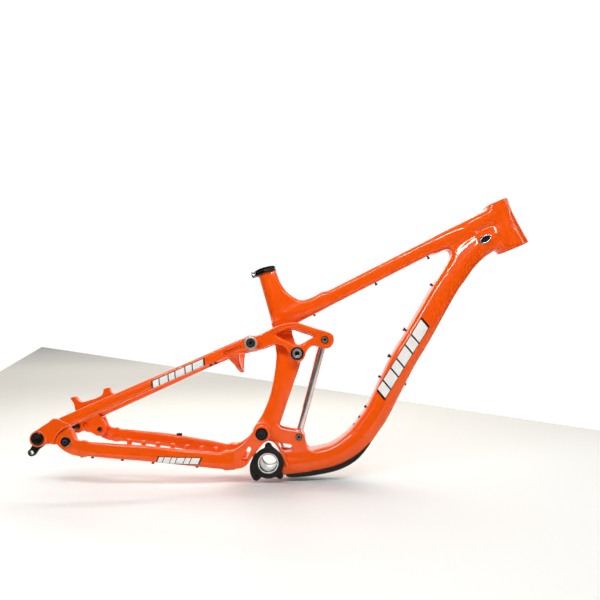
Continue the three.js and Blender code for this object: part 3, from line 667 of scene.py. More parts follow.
def moulded(name, level=0.018, rough=0.62, grain=500.0):
    """Matte black plastic or rubber with a moulded grain."""
    sh = Shader(name)
    grainy = sh.noise(grain, 4.0)
    scuff = sh.noise(35.0, 6.0, 0.7)
    color = sh.mix(sh.ramp(scuff, 0.5, 0.8, 0.0, 0.25), rgb(level, level, level), rgb(0.07, 0.068, 0.064))
    color = sh.share(0.2, sh.edges(), color, rgb(0.12, 0.12, 0.12))
    sh.set(Base_Color=color, Roughness=sh.ramp(scuff, 0.3, 0.7, rough - 0.1, rough + 0.15), Specular_IOR_Level=0.28)
    sh.set(Normal=sh.bump(grainy, 0.35, 0.0005))
    return sh.mat


PAINT = paint("paint_orange")
PAINT_DOWN = paint("paint_orange_down_graphic", ((227.3, 135.6), (318.2, 283.2), 24))
PAINT_STAY = paint("paint_orange_seatstay_graphic", ((-220.5, 159.2), (-123.1, 203.4), 15.5))
PAINT_CHAIN = paint("paint_orange_chainstay_graphic", ((-210, 15.7), (-130.9, 10.3), 14.5))
BLACK = black_anodised()
BLACK_GLOSS = black_anodised("anodised_black_gloss", 0.010, 0.16)
STEEL = machined("polished_steel", rgb(0.83, 0.81, 0.79), 0.22, None, 0.04)
# The shell's bore is darkened inside 18.45 mm as painted shade.
SHELL_METAL = machined("machined_shell", rgb(0.90, 0.89, 0.87), 0.24, (0, 0), 0.15, 18.45)
JET = rgb(0.008, 0.008, 0.009)
DARK = rgb(0.03, 0.03, 0.032)
# The lighter grey rings round the sockets stand in for highlights on the bolt and cap faces: painted highlight. The
# rocker insert's jet black socket inside its grey face is painted shade.
CAP_METAL = ringed("machined_cap", ROCKER, [(4.9, JET), (8.9, rgb(0.48, 0.49, 0.48)), (20, rgb(0.2, 0.2, 0.2))])
UPPER_BOLT = ringed("shock_bolt_upper_metal", STRUT_TOP, [(3.2, JET), (5.4, rgb(0.35, 0.36, 0.38)), (20, JET)])
LOWER_BOLT = ringed("shock_bolt_lower_metal", STRUT_BOTTOM, [(3.2, JET), (5.2, rgb(0.30, 0.31, 0.33)), (20, JET)])
STAY_BOLT = ringed("stay_bolt_metal", STAY, [(3.9, JET), (6.6, rgb(0.10, 0.11, 0.12)), (20, JET)])
HORST_METAL = ringed("horst_bolt_metal", HORST, [(3.4, DARK), (5.0, rgb(0.10, 0.10, 0.12)), (20, JET)])
PIVOT_METAL = ringed("main_cap_metal", MAIN, [(4.8, DARK), (8.8, rgb(0.03, 0.033, 0.036)), (20, JET)], 0.2)
BOLT_METAL = machined("bolt_steel", rgb(0.62, 0.62, 0.62), 0.24)
CREAM = machined("washer_cream", rgb(0.93, 0.88, 0.78), 0.34, STAY, 0.15)
RUBBER = moulded("guard_rubber", 0.008)
TRIM = moulded("trim_plastic", 0.006, 0.42, 800.0)


def piece(obj, material, body, *nodes, slot=None):
    """Gives a finished piece its material and its body, and hides the CAD nodes it stands for. slot is not used."""
    obj.data.materials.clear()
    obj.data.materials.append(material)
    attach(obj, body)
    if nodes:
        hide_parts(*nodes)


def both(obj, material, body, node, slot=None):
    """A right-hand piece and its mirror copy, for the CAD nodes node_right and node_left."""
    other = mirror_copy(obj, obj.name.replace("_right", "_left"))
    piece(obj, material, body, f"{node}_right", slot=slot)
    piece(other, material, body, f"{node}_left", slot=slot)


# ------------------------------------------------------------------ front triangle

DOWN = [
    (484, 0, 474, 50, 44), (456, 0, 457, 52, 46), (428, 0, 437.5, 51, 48), (404, 0, 413, 50, 50),
    (384, 0, 385, 49, 52), (361, 0, 351, 49, 53), (308, 0, 258, 51, 54), (274.5, 0, 202, 51, 55),
    (227.5, 0, 108, 48, 57), (208.5, 0, 77.5, 48, 58), (179, 0, 41, 49, 60), (137, 0, 13.5, 46.5, 61),
    (86, 0, 1, 45.5, 62), (45, 0, -4.5, 46, 62), (16, 0, -8, 43, 62),
]
TOP = [(16, 0, 279.5, 32, 36), (182, 0, 363.8, 30, 40), (320, 0, 434.2, 30, 42), (484, 0, 518, 29, 42)]
STRUT = [
    (22, 0, 287, 35, 35), (27.3, 0, 268.2, 35.5, 35), (33, 0, 240, 42, 38), (40, 0, 210, 51, 42),
    (31, 0, 167, 43.5, 42), (19.5, 0, 126, 38.5, 42), (5.5, 0, 88, 41, 46), (-6, 0, 66, 42, 52),
    (-9, 0, 54, 24, 56),
]
GUSSET = Outline([
    (9, 389), (22, 367.5), (34, 351), (46, 340.3), (58, 333.2), (74, 330), (92, 335), (112, 345.5),
    (112, 320), (60, 300), (20, 300), (4, 340),
])
CROTCH = Outline([
    (342, 430), (364, 435.5), (374, 433), (378, 425), (376, 412), (366, 390), (386, 378), (412, 405),
    (432, 445), (405, 480), (342, 456),
])
CHEEK = Outline([
    (0, 46), (8, 62), (16, 76), (24, 68.5), (40, 64), (57, 61.5), (69, 58.5), (74, 50), (76, 36),
    (82, 24), (96, 18), (90, 8), (40, 8), (29, 4), (25, 18), (17, 31), (9, 40),
])
PORT_AT = (440.0, 452.0)
PORT_ANGLE = math.radians(32)
PORT_LONG, PORT_SHORT = 13.0, 8.0

down_tube = Tube(DOWN, creased(15, 12, 4.0, 0.06))
top_tube = Tube(TOP, creased(11, 8, 4.0, -0.05), per_span=24)
seat_strut = Tube(STRUT, creased(8, 9, 3.0, -0.45))
crotch = plate(CROTCH, -17, 17, 8)
gusset = plate(GUSSET, -16, 16, 8)
cheek_plate = plate(CHEEK, -27, -13, 2.5)
to_head = lean_frame(HEAD_BOTTOM, HEAD_TILT)
to_seat = lean_frame(
    (SEAT_TOP[0] + SEAT_LENGTH * math.sin(SEAT_TILT), SEAT_TOP[1] - SEAT_LENGTH * math.cos(SEAT_TILT)), SEAT_TILT
)
HEAD_S = [0, 8, 14, 46, 66, 88, 93, 100]
HEAD_R = [31.2, 31.2, 30.2, 26.4, 24.6, 24.6, 24.9, 24.9]


def head_outside(p):
    s, r = to_head(p)
    return smax(r - np.interp(s, HEAD_S, HEAD_R), np.abs(s - HEAD_LENGTH / 2) - HEAD_LENGTH / 2, 1.2)


def head_bore(p):
    s, r = to_head(p)
    wide = np.interp(s, [13.5, 14, 15, 85, 85.5, 86], [28, 28, 22.5, 20.5, 20.5, 22])
    return r - wide


def seat_outside(p):
    s, r = to_seat(p)
    return smax(r - SEAT_RADIUS, np.abs(s - SEAT_LENGTH / 2 + 4) - SEAT_LENGTH / 2 - 4, 0.7)


def seat_bore(p):
    s, r = to_seat(p)
    return smax(r - SEAT_BORE, 3 - s, 1.0)


def port_ellipse(p, grow):
    """Distance from the cable port's ellipse in the side view, grown by grow."""
    cos, sin = math.cos(PORT_ANGLE), math.sin(PORT_ANGLE)
    x, z = p[:, 0] - PORT_AT[0], p[:, 2] - PORT_AT[1]
    u, v = x * cos + z * sin, z * cos - x * sin
    long, short = PORT_LONG + grow, PORT_SHORT + grow
    return (np.hypot(u / long, v / short) - 1) * short


def port_hole(p):
    return np.maximum(port_ellipse(p, -0.4), 14 - np.abs(p[:, 1]))


main_boss = boss(MAIN, 20, -31, 31, 2.5)
rocker_boss = boss(ROCKER, 17, -27, 27, 2.0)
main_bore = bore(MAIN, 12.4)
rocker_bore = bore(ROCKER, 11.4)
bb_hole = bore((0, 0), BB_RADIUS + 0.2)
cheek_slot = slot_hole((20, 31.5), (41, 28.5), 15)
bolt_hole = bore(STRUT_BOTTOM, 4.3)
lip = Tube([(12.5, -32, 44, 5, 9), (18.5, -32.5, 36, 5, 10), (27, -33, 21.5, 5, 10), (35, -33, 3, 5, 10),
            (38.5, -31.5, -8, 5, 9)], rounded(0.8))


FORGING = (186.0, 55.5)  # where the forged foot meets the drawn tube
FORGING_ACROSS = (0.574, 0.819)  # direction across that line


def forging_line(p):
    """A shallow groove round the down tube where the forged foot ends."""
    away = (p[:, 0] - FORGING[0]) * FORGING_ACROSS[0] + (p[:, 2] - FORGING[1]) * FORGING_ACROSS[1]
    return 0.45 * np.exp(-((away / 0.8) ** 2))


def down_shape(p):
    d = smin(down_tube(p), np.minimum(lip(p), lip(p * (1, -1, 1))), 3)
    return smin(d + forging_line(p), crotch(p), 10)


def strut_shape(p):
    return smin(smin(seat_strut(p), main_boss(p), 7), rocker_boss(p), 7)


def cheek_shape(p):
    return smax(smax(cheek_plate(p), -cheek_slot(p), 3.0), -bolt_hole(p), 1.0)


FRONT = {
    "head_tube": head_outside,
    "down_tube": down_shape,
    "top_tube": top_tube,
    "seat_tube": seat_outside,
    "seat_tube_gusset": gusset,
    "seat_strut": strut_shape,
    "shock_mount_right": cheek_shape,
    "shock_mount_left": mirrored(cheek_shape),
}
FILLET = {"head_tube": 13, "top_tube": 10, "seat_tube": 9, "seat_tube_gusset": 12, "seat_strut": 6,
          "shock_mount_right": 5, "shock_mount_left": 5}
ROOM = {
    "head_tube": ((430, -34, 418), (542, 34, 548), 1.0),
    "down_tube": ((10, -35, -36), (505, 35, 505), 1.45),
    "top_tube": ((0, -26, 258), (505, 26, 545), 1.2),
    "seat_tube": ((-32, -22, 255), (60, 22, 404), 0.8),
    "seat_tube_gusset": ((-6, -24, 292), (125, 24, 396), 1.0),
    "seat_strut": ((-40, -35, 32), (86, 35, 300), 1.1),
    "shock_mount_right": ((-8, -30, -6), (104, -9, 84), 0.9),
    "shock_mount_left": ((-8, 9, -6), (104, 30, 84), 0.9),
}
OVERLAP = 1.6  # each piece runs this far into its neighbour, out of sight


def welded(name, order):
    """One node's share of the welded front triangle: the whole shape, kept near that node."""

    def shape(p):
        parts = {key: made(p) for key, made in FRONT.items()}
        whole = parts["down_tube"]
        for key, fillet in FILLET.items():
            whole = smin(whole, parts[key], fillet)
        for cut, edge in ((head_bore, 1.2), (seat_bore, 0.6), (port_hole, 1.0), (main_bore, 1.2),
                          (rocker_bore, 1.2), (bb_hole, 1.0)):
            whole = smax(whole, -cut(p), edge)
        own = parts[name]
        others = np.minimum.reduce([d for key, d in parts.items() if key != name])
        return np.maximum(whole + 0.02 * order, (own - others) * 0.6 - OVERLAP)

    return shape


for order, (name, (low, high, step)) in enumerate(ROOM.items()):
    made = surfaced(name + "_painted", welded(name, order), low, high, step)
    piece(made, PAINT_DOWN if name == "down_tube" else PAINT, "front_triangle", name)

# ------------------------------------------------------------------ chainstays

CHAIN = [
    (-352, -80.5, 38.6, 28, 10), (-330, -79.6, 36.8, 29, 13), (-299, -78, 33.8, 29, 16),
    (-231, -73, 27.5, 29.5, 17), (-180, -66, 20.5, 30, 18), (-128, -56, 13, 31, 17.5),
    (-98, -48.6, 8, 32, 15.5), (-70, -41.5, 8, 34, 14),
]
LUG = Outline([
    (-401.6, 51), (-400, 59.5), (-393, 68), (-383, 74.5), (-375.5, 79.5), (-371.5, 72), (-366, 59),
    (-355, 53.2), (-344, 52), (-344, 25), (-356, 24.6), (-371, 27.5), (-387, 36), (-397, 45),
])
YOKE = Outline([
    (-88, 24), (-72, 26), (-58, 33), (-45, 44), (-34, 58), (-27, 68), (-13, 76), (1, 70), (4.2, 60),
    (-1, 49), (-11, 39), (-22.5, 24.5), (-34, 9.9), (-42, -1.5), (-53.5, -7.8), (-70, -9.5), (-88, -9),
])
chain_tube = Tube(CHAIN, creased(12, 6, 2.2, -0.4))
lug = plate(LUG, -86, -77, 2.0)
yoke = plate(YOKE, -46, -32, 3.0)
yoke_boss = boss(MAIN, 16.5, -46, -32, 2.0)
yoke_slot = slot_hole((-38, 30), (-47, 9.5), 9)
horst_seat = bore(HORST, 9.7)
axle_bore = bore(MAIN, 7.8)
WELD_GROOVES = [(-346.5, 0.55, 1.0), (-330.5, 0.35, 0.9), (-322, 0.3, 0.9)]  # (X, depth, width)


def chainstay_shape(p):
    d = smin(smin(chain_tube(p), yoke(p), 9), yoke_boss(p), 3)
    d = smin(d, lug(p), 6)
    for x, depth, width in WELD_GROOVES:
        d = d + depth * np.exp(-(((p[:, 0] - x) / width) ** 2))
    d = smax(d, -yoke_slot(p), 2.5)
    return cut(d, p, 0.8, horst_seat, axle_bore)


both(surfaced("chainstay_right_painted", chainstay_shape, (-406, -90, -14), (8, -28, 84), 1.0),
     PAINT_CHAIN, "chainstay", "chainstay")

# ------------------------------------------------------------------ seatstays and dropouts

SEAT = [
    (-404, -76, 81, 23, 15), (-380, -76, 91.5, 23, 16), (-300, -74, 127, 22, 16), (-215, -68.5, 165, 20.5, 16),
    (-150, -58.5, 194, 20, 16), (-100, -51.5, 216, 22, 15), (-62, -49.2, 231, 26, 14), (-36, -49, 239.6, 29, 13.6),
]
BEHIND_STAY = Outline([(-404, 98), (-460, 130), (-460, 10), (-350, 10), (-371, 82.5)], 0)
POCKET = Outline([(-90, 224), (-70, 231), (-54, 237.5), (-50.5, 229), (-68, 220), (-86, 213.5)])
seat_tube_path = Tube(SEAT, creased(11, 5, 2.2, -0.3))
stay_eye = boss(STAY, 15, -56, -42, 1.5)
stay_bore = bore(STAY, 8.3)


def stay_pocket(p):
    wall = (POCKET(p[:, 0], p[:, 2]) + 0.5 * (57 + p[:, 1])) * 0.9
    return np.maximum(wall, p[:, 1] + 50.6)


def seatstay_shape(p):
    d = smin(seat_tube_path(p), stay_eye(p), 4)
    d = smax(d, -stay_pocket(p), 1.6)
    d = smax(d, -BEHIND_STAY(p[:, 0], p[:, 2]), 1.0)
    return smax(d, -stay_bore(p), 0.8)


both(surfaced("seatstay_right_painted", seatstay_shape, (-406, -88, 74), (-12, -38, 262), 1.0),
     PAINT_STAY, "seatstay", "seatstay")

DROPOUT = Outline([
    (-402, 96), (-416, 88), (-430, 79), (-443, 69), (-449.5, 58), (-446.5, 46.5), (-437, 42.5), (-424, 45.8),
    (-412, 47.8), (-404, 46.5), (-402.4, 56), (-397.5, 65.5), (-388, 74.5), (-373, 84),
])
TONGUE = Outline([
    (-416, 50), (-400, 44), (-390, 38), (-380, 37), (-369.5, 43), (-366.5, 54), (-371.5, 68), (-383, 82),
    (-400, 92), (-416, 84),
])
LINK = Outline([(-420, 51), (-405, 50), (-400, 66), (-391.5, 78), (-404, 90), (-420, 82)], 0)
dropout_plate = plate(DROPOUT, -86, -78.3, 2.2)
tongue = plate(TONGUE, -76.6, -67, 2.0)
link = plate(LINK, -85, -68, 1.0)
axle_ring = boss(REAR_AXLE, 15.2, -87.2, -80, 1.2)
axle_hole = bore(REAR_AXLE, 6.3)
axle_recess = boss(REAR_AXLE, 12.4, -95, -85.4, 0.4)
lug_room = boss(HORST, 20.4, -95, -76.7, 0.2)
horst_hole = bore(HORST, 5.3)
hub_seat = boss(REAR_AXLE, 15, -79, -74, 1.0)
inner_recess = boss((-413.7, 62.9), 5.2, -72.5, -60, 0.8)


def dropout_shape(p):
    d = smin(smin(dropout_plate(p), tongue(p), 3), link(p), 3)
    d = smin(d, axle_ring(p), 3)
    d = smax(d, -lug_room(p), 0.8)
    d = smax(d, -(slab(LUG(p[:, 0], p[:, 2]) - 0.3, p[:, 1], -95, -76.7, 0.2)), 0.8)
    room = np.maximum(seat_tube_path(p) - 0.35, -(BEHIND_STAY(p[:, 0], p[:, 2]) + 0.35))
    d = smax(d, -room, 0.8)
    d = smax(d, -axle_recess(p), 0.6)
    return cut(d, p, 0.6, horst_hole, axle_hole)


def left_dropout_shape(p):
    d = smin(dropout_shape(p), hub_seat(p), 2)
    return smax(smax(d, -inner_recess(p), 1.0), -axle_hole(p), 0.6)


room = ((-453, -90, 32), (-362, -63, 101))
piece(surfaced("dropout_right_painted", dropout_shape, *room, 0.8), PAINT, "seatstay", "dropout_right")
left_dropout = surfaced("dropout_left_draft", left_dropout_shape, *room, 0.8)
piece(mirror_copy(left_dropout, "dropout_left_painted"), PAINT, "seatstay", "dropout_left")
bpy.data.objects.remove(left_dropout)

ARCH = [
    (-50, 69, 224, 12, 26), (-45.5, 67, 213, 12, 22), (-34, 63, 202, 10, 14), (-16, 59, 189.5, 8, 10),
    (0, 56.5, 184, 8, 9), (16, 59, 189.5, 8, 10), (34, 63, 202, 10, 14), (45.5, 67, 213, 12, 22),
    (50, 69, 224, 12, 26),
]
arch_tube = Tube(ARCH, rounded(0.7))


def bridge_shape(p):
    return arch_tube(np.stack([p[:, 1], -p[:, 0], p[:, 2]], 1))


piece(surfaced("seatstay_bridge_painted", bridge_shape, (-88, -56, 174), (-46, 56, 232), 0.8), PAINT, "seatstay",
      "seatstay_bridge")

POSTS = Outline([
    (-450, 124), (-440, 129), (-432, 117.5), (-422, 112), (-405, 116.5), (-389, 121.5), (-377, 130), (-373, 147),
    (-365, 149.5), (-359, 136), (-348, 127), (-352, 112), (-380, 98), (-410, 86), (-430, 78), (-437, 92),
    (-441, 108),
])
POST_TILT = math.radians(15.1)
POST_MIDDLE = (-405.95, 132.8)
posts_plate = plate(POSTS, 70, 82, 2.2)
POST_HOLES = [(-443.0, 122.8), (-368.8, 142.8)]


def brake_shape(p):
    x, z = p[:, 0] - POST_MIDDLE[0], p[:, 2] - POST_MIDDLE[1]
    above = z * math.cos(POST_TILT) - x * math.sin(POST_TILT)
    d = smax(posts_plate(p), above, 0.8)
    for hole in POST_HOLES:
        hx = (p[:, 0] - hole[0]) * math.cos(POST_TILT) + (p[:, 2] - hole[1]) * math.sin(POST_TILT)
        d = smax(d, -np.maximum(np.hypot(hx, p[:, 1] - 76) - 2.6, -above - 14), 0.5)
    return d


piece(surfaced("brake_mount_painted", brake_shape, (-454, 66, 72), (-342, 86, 150), 0.8), PAINT, "seatstay",
      "brake_mount")

# ------------------------------------------------------------------ rocker

ROCKER_EDGE = Outline([
    (-46, 245), (-44, 230), (-33, 226.5), (-16, 229), (10, 238), (25, 237.3), (36, 229.7), (43, 218), (47, 208),
    (58, 203.5), (70, 208), (74.5, 219), (80, 228), (90, 236), (103, 233.5), (114, 229.5), (126, 234),
    (131.5, 247), (125, 260.5), (92, 271), (58, 281.8), (43, 282), (26, 278.5), (8, 270.5), (-16, 258), (-34, 254),
])
WINDOW = Outline([
    (15, 258), (32, 265.5), (47, 270.5), (70, 263.5), (91, 255.5), (80, 247), (65, 238.5), (52, 239), (34, 248),
])
WINDOW_CHAMFER, WINDOW_SLOPE = 3.6, 0.8  # depth of the window's sloped rim, and its spread for that depth
rocker_plate = plate(ROCKER_EDGE, -41, -28, 3.2)


def rocker_shape(p):
    d = rocker_plate(p)
    x, y, z = p.T
    hollow = WINDOW(x, z)
    face = y + 41
    d = smax(d, -(hollow - WINDOW_SLOPE * np.maximum(WINDOW_CHAMFER - face, 0)), 1.6)
    for at, radius in ((ROCKER, 15.5), (STRUT_TOP, 12.5)):
        away = np.hypot(x - at[0], z - at[1])
        d = d + 0.45 * np.exp(-(((away - radius) / 1.3) ** 2)) * (face < 6)
    return cut(d, p, 0.5, bore(ROCKER, 6.8), bore(STAY, 5.3), bore(STRUT_TOP, 4.3))


both(surfaced("rocker_plate_right_painted", rocker_shape, (-50, -44, 198), (136, -25, 288), 0.8), PAINT, "rocker",
     "rocker_plate")

# ------------------------------------------------------------------ bridges, guards and trim


BRIDGE = Outline([(-67, -8), (-56, -9.5), (-44, -3), (-40, 4), (-46, 9), (-58, 8), (-67, 2)])
piece(surfaced("chainstay_bridge_painted", plate(BRIDGE, -34, 34, 2.5), (-72, -36, -13), (-36, 36, 13), 0.9),
      PAINT, "chainstay", "chainstay_bridge")

GUARD_EDGE = Outline([
    (38, -31.5), (77, -31.2), (112, -28.5), (138, -21.5), (163.5, -9.4), (186.5, 9.5), (206.2, 34.8), (222.6, 62),
    (239.5, 91.5), (232, 92), (205, 55), (176, 22), (140, 2), (90, -10), (40, -16),
])
guard_plate = plate(GUARD_EDGE, -24, 24, 5.0)


def guard_shape(p):
    tube = down_tube(p)
    d = smax(smax(guard_plate(p), tube - 7.5, 2.0), -(tube - 0.3), 0.8)
    along = p[:, 0] * 0.85 + p[:, 2] * 0.5
    rib = 0.5 * np.maximum(np.cos(2 * np.pi * along / 13.0), 0) ** 2
    return d + rib * (np.abs(p[:, 1]) < 21)


piece(surfaced("down_tube_guard_moulded", guard_shape, (32, -31, -38), (250, 31, 98), 1.1), RUBBER,
      "front_triangle", "down_tube_guard")

GUARD_START, GUARD_END, RIBS = (-268.0, 47.5), (-104.0, 27.0), 7
RIB_HALF = (2.9, 3.1, 4.7)
spine = Tube([(-278, -66, 42.5, 4, 5), (-231, -62.5, 38, 4, 5), (-180, -55, 31, 4, 5), (-128, -45.3, 24, 4, 5),
              (-94, -38.4, 19.5, 4, 5)], rounded(0.6))


def slap_guard_shape(p):
    d = spine(p)
    for i in range(RIBS):
        t = i / (RIBS - 1)
        at = (GUARD_START[0] + (GUARD_END[0] - GUARD_START[0]) * t, -64.5 + 25.5 * t**1.6,
              GUARD_START[1] + (GUARD_END[1] - GUARD_START[1]) * t)
        d = smin(d, rounded_box(p - at, RIB_HALF, 0.9), 1.2)
    return smax(d, -(chain_tube(p) - 0.2), 0.5)


piece(surfaced("chainstay_guard_moulded", slap_guard_shape, (-284, -72, 10), (-88, -30, 58), 0.8), PAINT,
      "chainstay", "chainstay_guard")

HANGER = Outline([
    (-447.5, 60), (-441, 69), (-431, 70.5), (-422, 63), (-420, 52), (-427, 43), (-436, 36), (-443, 27),
    (-450, 23.5), (-456, 28), (-453, 38), (-447.5, 48),
])
HANGER_EYE = (-449.4, 30.2)
hanger_plate = plate(HANGER, -78, -74, 0.8)
hanger_eye = boss(HANGER_EYE, 7.2, -81, -74, 0.7)


def hanger_shape(p):
    d = smin(hanger_plate(p), hanger_eye(p), 2)
    return smax(smax(d, -axle_hole(p), 0.5), -bore(HANGER_EYE, 4.0)(p), 0.7)


piece(surfaced("derailleur_hanger_machined", hanger_shape, (-460, -84, 19), (-416, -71, 75), 0.7), BLACK_GLOSS,
      "seatstay", "derailleur_hanger")

TABS = [(math.cos(math.radians(angle)), math.sin(math.radians(angle))) for angle in (90, 229, 313)]
TAB_REACH = 34.5  # from the shell's centre to a tab's hole
SHOULDER = Outline([(-5, 33), (4, 36), (12, 30.5), (20, 22.5), (25, 15), (20, 2), (-5, 10)])
EAR = Outline([(-26, 19), (-33, 7), (-38, -8), (-36, -23), (-29, -35), (-20, -35), (-10, -20), (-10, 10)])


def guide_shape(p):
    d = boss((0, 0), 31, -36.3, -31.6, 0.8)(p)
    for c, s in TABS:
        tab = slot_hole((c * 26, s * 26), (c * TAB_REACH, s * TAB_REACH), 13.6)(p)
        d = smin(d, slab(tab, p[:, 1], -36.3, -31.6, 0.8), 4)
    for c, s in TABS:
        blind = np.maximum(bore((c * TAB_REACH, s * TAB_REACH), 2.9)(p), p[:, 1] + 33.2)
        d = smax(d, -blind, 0.5)
    d = smin(d, slab(SHOULDER(p[:, 0], p[:, 2]), p[:, 1], -36.3, -31.6, 0.8), 2)
    d = smin(d, slab(EAR(p[:, 0], p[:, 2]), p[:, 1], -32.2, -27.6, 0.8), 1.5)
    x, y, z = p.T
    away = np.hypot(x, z)
    d = d + 0.5 * np.exp(-(((away - 28.6) / 0.7) ** 2)) * (y < -33)
    return smax(d, -bb_hole(p), 0.6)


piece(surfaced("chain_guide_mount_machined", guide_shape, (-36, -39, -37), (36, -29, 45), 0.75), TRIM,
      "front_triangle", "chain_guide_mount")


def port_shape(p):
    rim = slab(port_ellipse(p, -0.2), p[:, 1], -25.2, -23.2, 0.8)
    sleeve = slab(port_ellipse(p, -1.0), p[:, 1], -24, -16, 0.3)
    return smax(smin(rim, sleeve, 0.8), -port_ellipse(p, -2.7), 0.8)


both(surfaced("cable_port_right_bezel", port_shape, (424, -28, 438), (456, -13, 466), 0.6), BOLT_METAL,
     "front_triangle", "cable_port", "machined_alloy")


# A matte black plug behind the cable port: it closes the port and darkens the opening, standing in for the shade
# inside the down tube (painted shade).
def shade_plug_shape(p):
    return slab(port_ellipse(p, -2.9), p[:, 1], -20, -14, 0.5)


shade_plug = surfaced("cable_plug_right", shade_plug_shape, (424, -23, 438), (456, -11, 466), 0.7)
piece(mirror_copy(shade_plug, "cable_plug_left"), TRIM, "front_triangle")
piece(shade_plug, TRIM, "front_triangle")

# Small clips for hose and cable, each a stud with a rounded head: (body, x, y, z, lean in degrees).
CLIPS = [
    ("chainstay", -353, -80, 25, 180), ("chainstay", -333, -79.5, 23.5, 180), ("chainstay", -277, -77, 18, 180),
    ("chainstay", -220, -71.5, 11, 180), ("chainstay", -138, -57.5, 0, 180),
    ("front_triangle", 230, 0, 171.5, -62), ("front_triangle", 201, 0, 109, -62),
    ("front_triangle", 188.5, 0, 87.5, -60), ("front_triangle", 178, 0, 72, -55),
    ("front_triangle", 281, 0, 157, 118), ("front_triangle", 330, 0, 420, 153),
    ("front_triangle", 93, 0, 301.5, 153), ("seatstay", -103, -51.5, 202.5, 156),
    ("seatstay", -112, -53, 198.5, 156),
]
CLIP_PROFILE = [(0, -5), (2.0, -5), (2.0, 1.2), (3.0, 1.6), (3.0, 3.0), (2.2, 3.8), (0, 4.0)]
for number, (body, x, y, z, lean) in enumerate(CLIPS, 1):
    clip_place = Matrix.Translation((x, y, z)) @ Matrix.Rotation(math.radians(lean), 4, "Y")
    piece(turned(f"hose_clip_{number}", CLIP_PROFILE, clip_place, 24), TRIM, body)

# Small parts on the tubes: (node, lean in degrees, turned profile, material).
STUD = [(0, -4), (2.2, -4), (2.2, 1.0), (3.2, 1.4), (3.2, 2.6), (2.4, 3.4), (0, 3.6)]
SOCKET_SCREW = [(0, -4), (2.4, -4), (2.4, 0.2), (4.2, 0.2), (4.2, 2.6), (3.6, 3.2), (2.5, 3.2), (2.0, 3.0, 6),
                (2.0, 1.2, 6), (0, 1.0)]
SMALL_PARTS = [
    ("bottle_bolt_upper", -59, SOCKET_SCREW, BLACK_GLOSS),
    ("bottle_bolt_lower", -63, SOCKET_SCREW, BLACK_GLOSS),
    ("down_tube_guide_upper", -57, STUD, TRIM),
    ("top_tube_guide_front", 153, STUD, TRIM),
]
for node, lean, profile, material in SMALL_PARTS:
    low, high = (Vector(corner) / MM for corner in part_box(node))
    small_place = Matrix.Translation((low + high) / 2) @ Matrix.Rotation(math.radians(lean), 4, "Y")
    piece(turned(node + "_turned", profile, small_place, 36), material, "front_triangle", node)

guide_low, guide_high = (np.array(corner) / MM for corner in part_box("chainstay_guide"))
guide_middle, guide_half = (guide_low + guide_high) / 2, (guide_high - guide_low) / 2


def hose_guide_shape(p):
    """A small saddle clip: a rounded block with a channel for the hose along the stay."""
    block = rounded_box(p - guide_middle, guide_half - 1.3, 1.3)
    channel = np.hypot(p[:, 1] - guide_middle[1], p[:, 2] - guide_high[2] + 1.6) - 2.0
    return smax(block, -channel, 0.6)


piece(surfaced("chainstay_guide_moulded", hose_guide_shape, guide_low - 3, guide_high + 3, 0.5), TRIM, "chainstay",
      "chainstay_guide")

# Seat clamp: a split ring with two ears and a bolt behind the tube.
CLAMP_AT = (SEAT_TOP[0] + 9.8 * math.sin(SEAT_TILT), SEAT_TOP[1] - 9.8 * math.cos(SEAT_TILT))
CLAMP_MIDDLE = 5.75  # half the height of the clamp
CLAMP_BOLT_BACK = 25.6  # from the tube's axis to the bolt
to_clamp = lean_frame(CLAMP_AT, SEAT_TILT)
clamp_place = leaning(CLAMP_AT, SEAT_TILT)


def clamp_shape(p):
    s, r = to_clamp(p)
    cos, sin = math.cos(SEAT_TILT), math.sin(SEAT_TILT)
    x = (p[:, 0] - CLAMP_AT[0]) * cos + (p[:, 2] - CLAMP_AT[1]) * sin
    y = p[:, 1]
    ring = slab(r - 21.2, s, 0, 11.5, 0.9)
    ears = rounded_box(np.stack([x + 24.2, y, s - CLAMP_MIDDLE], 1), (5.3, 7.3, 4.0), 1.2)
    d = smin(ring, ears, 1.5)
    groove = np.hypot(r - 21.6, s - CLAMP_MIDDLE) - 1.1
    d = smax(d, -groove, 0.5)
    d = smax(d, -(r - SEAT_RADIUS - 0.15), 0.5)
    d = smax(d, -np.maximum(np.abs(y) - 1.1, x + 16), 0.3)
    return smax(d, -(np.hypot(x + CLAMP_BOLT_BACK, s - CLAMP_MIDDLE) - 2.7), 0.4)


piece(surfaced("seat_clamp_machined", clamp_shape, (-44, -25, 376), (20, 25, 408), 0.75), BLACK_GLOSS,
      "front_triangle", "seat_clamp")
clamp_bolt_place = (
    clamp_place @ Matrix.Translation((-CLAMP_BOLT_BACK, 0, CLAMP_MIDDLE)) @ Matrix.Rotation(math.pi / 2, 4, "X")
)
piece(turned("seat_clamp_bolt_turned", [
    (0, -11), (2.4, -11), (2.4, 8.9), (4.3, 8.9), (4.3, 11.5), (3.6, 12), (2.3, 12), (1.7, 11.8, 6), (1.7, 9.5, 6),
    (0, 9.2)], clamp_bolt_place, 48), BOLT_METAL, "front_triangle", "seat_clamp_bolt")

# Bottom bracket shell: chamfered ends, a few turns of thread inside each and a plain middle.
THREAD_PITCH = 2.0
THREAD_RADIUS, THREAD_DEPTH = 17.4, 0.35
thread = [(THREAD_RADIUS - THREAD_DEPTH * (k % 2), 36.0 - k * THREAD_PITCH / 2) for k in range(9)]
bore_line = [*thread, (18.4, 26), (18.4, -26), *[(r, -y) for r, y in reversed(thread)]]
shell_profile = [(18.2, -36.5), (20.4, -36.5), (21, -35.9), (21, 35.9), (20.4, 36.5), (18.2, 36.5), *bore_line,
                 (18.2, -36.5)]
piece(turned("bottom_bracket_shell_turned", shell_profile, across((0, 0)), 96, soften=0), SHELL_METAL,
      "front_triangle", "bottom_bracket_shell")

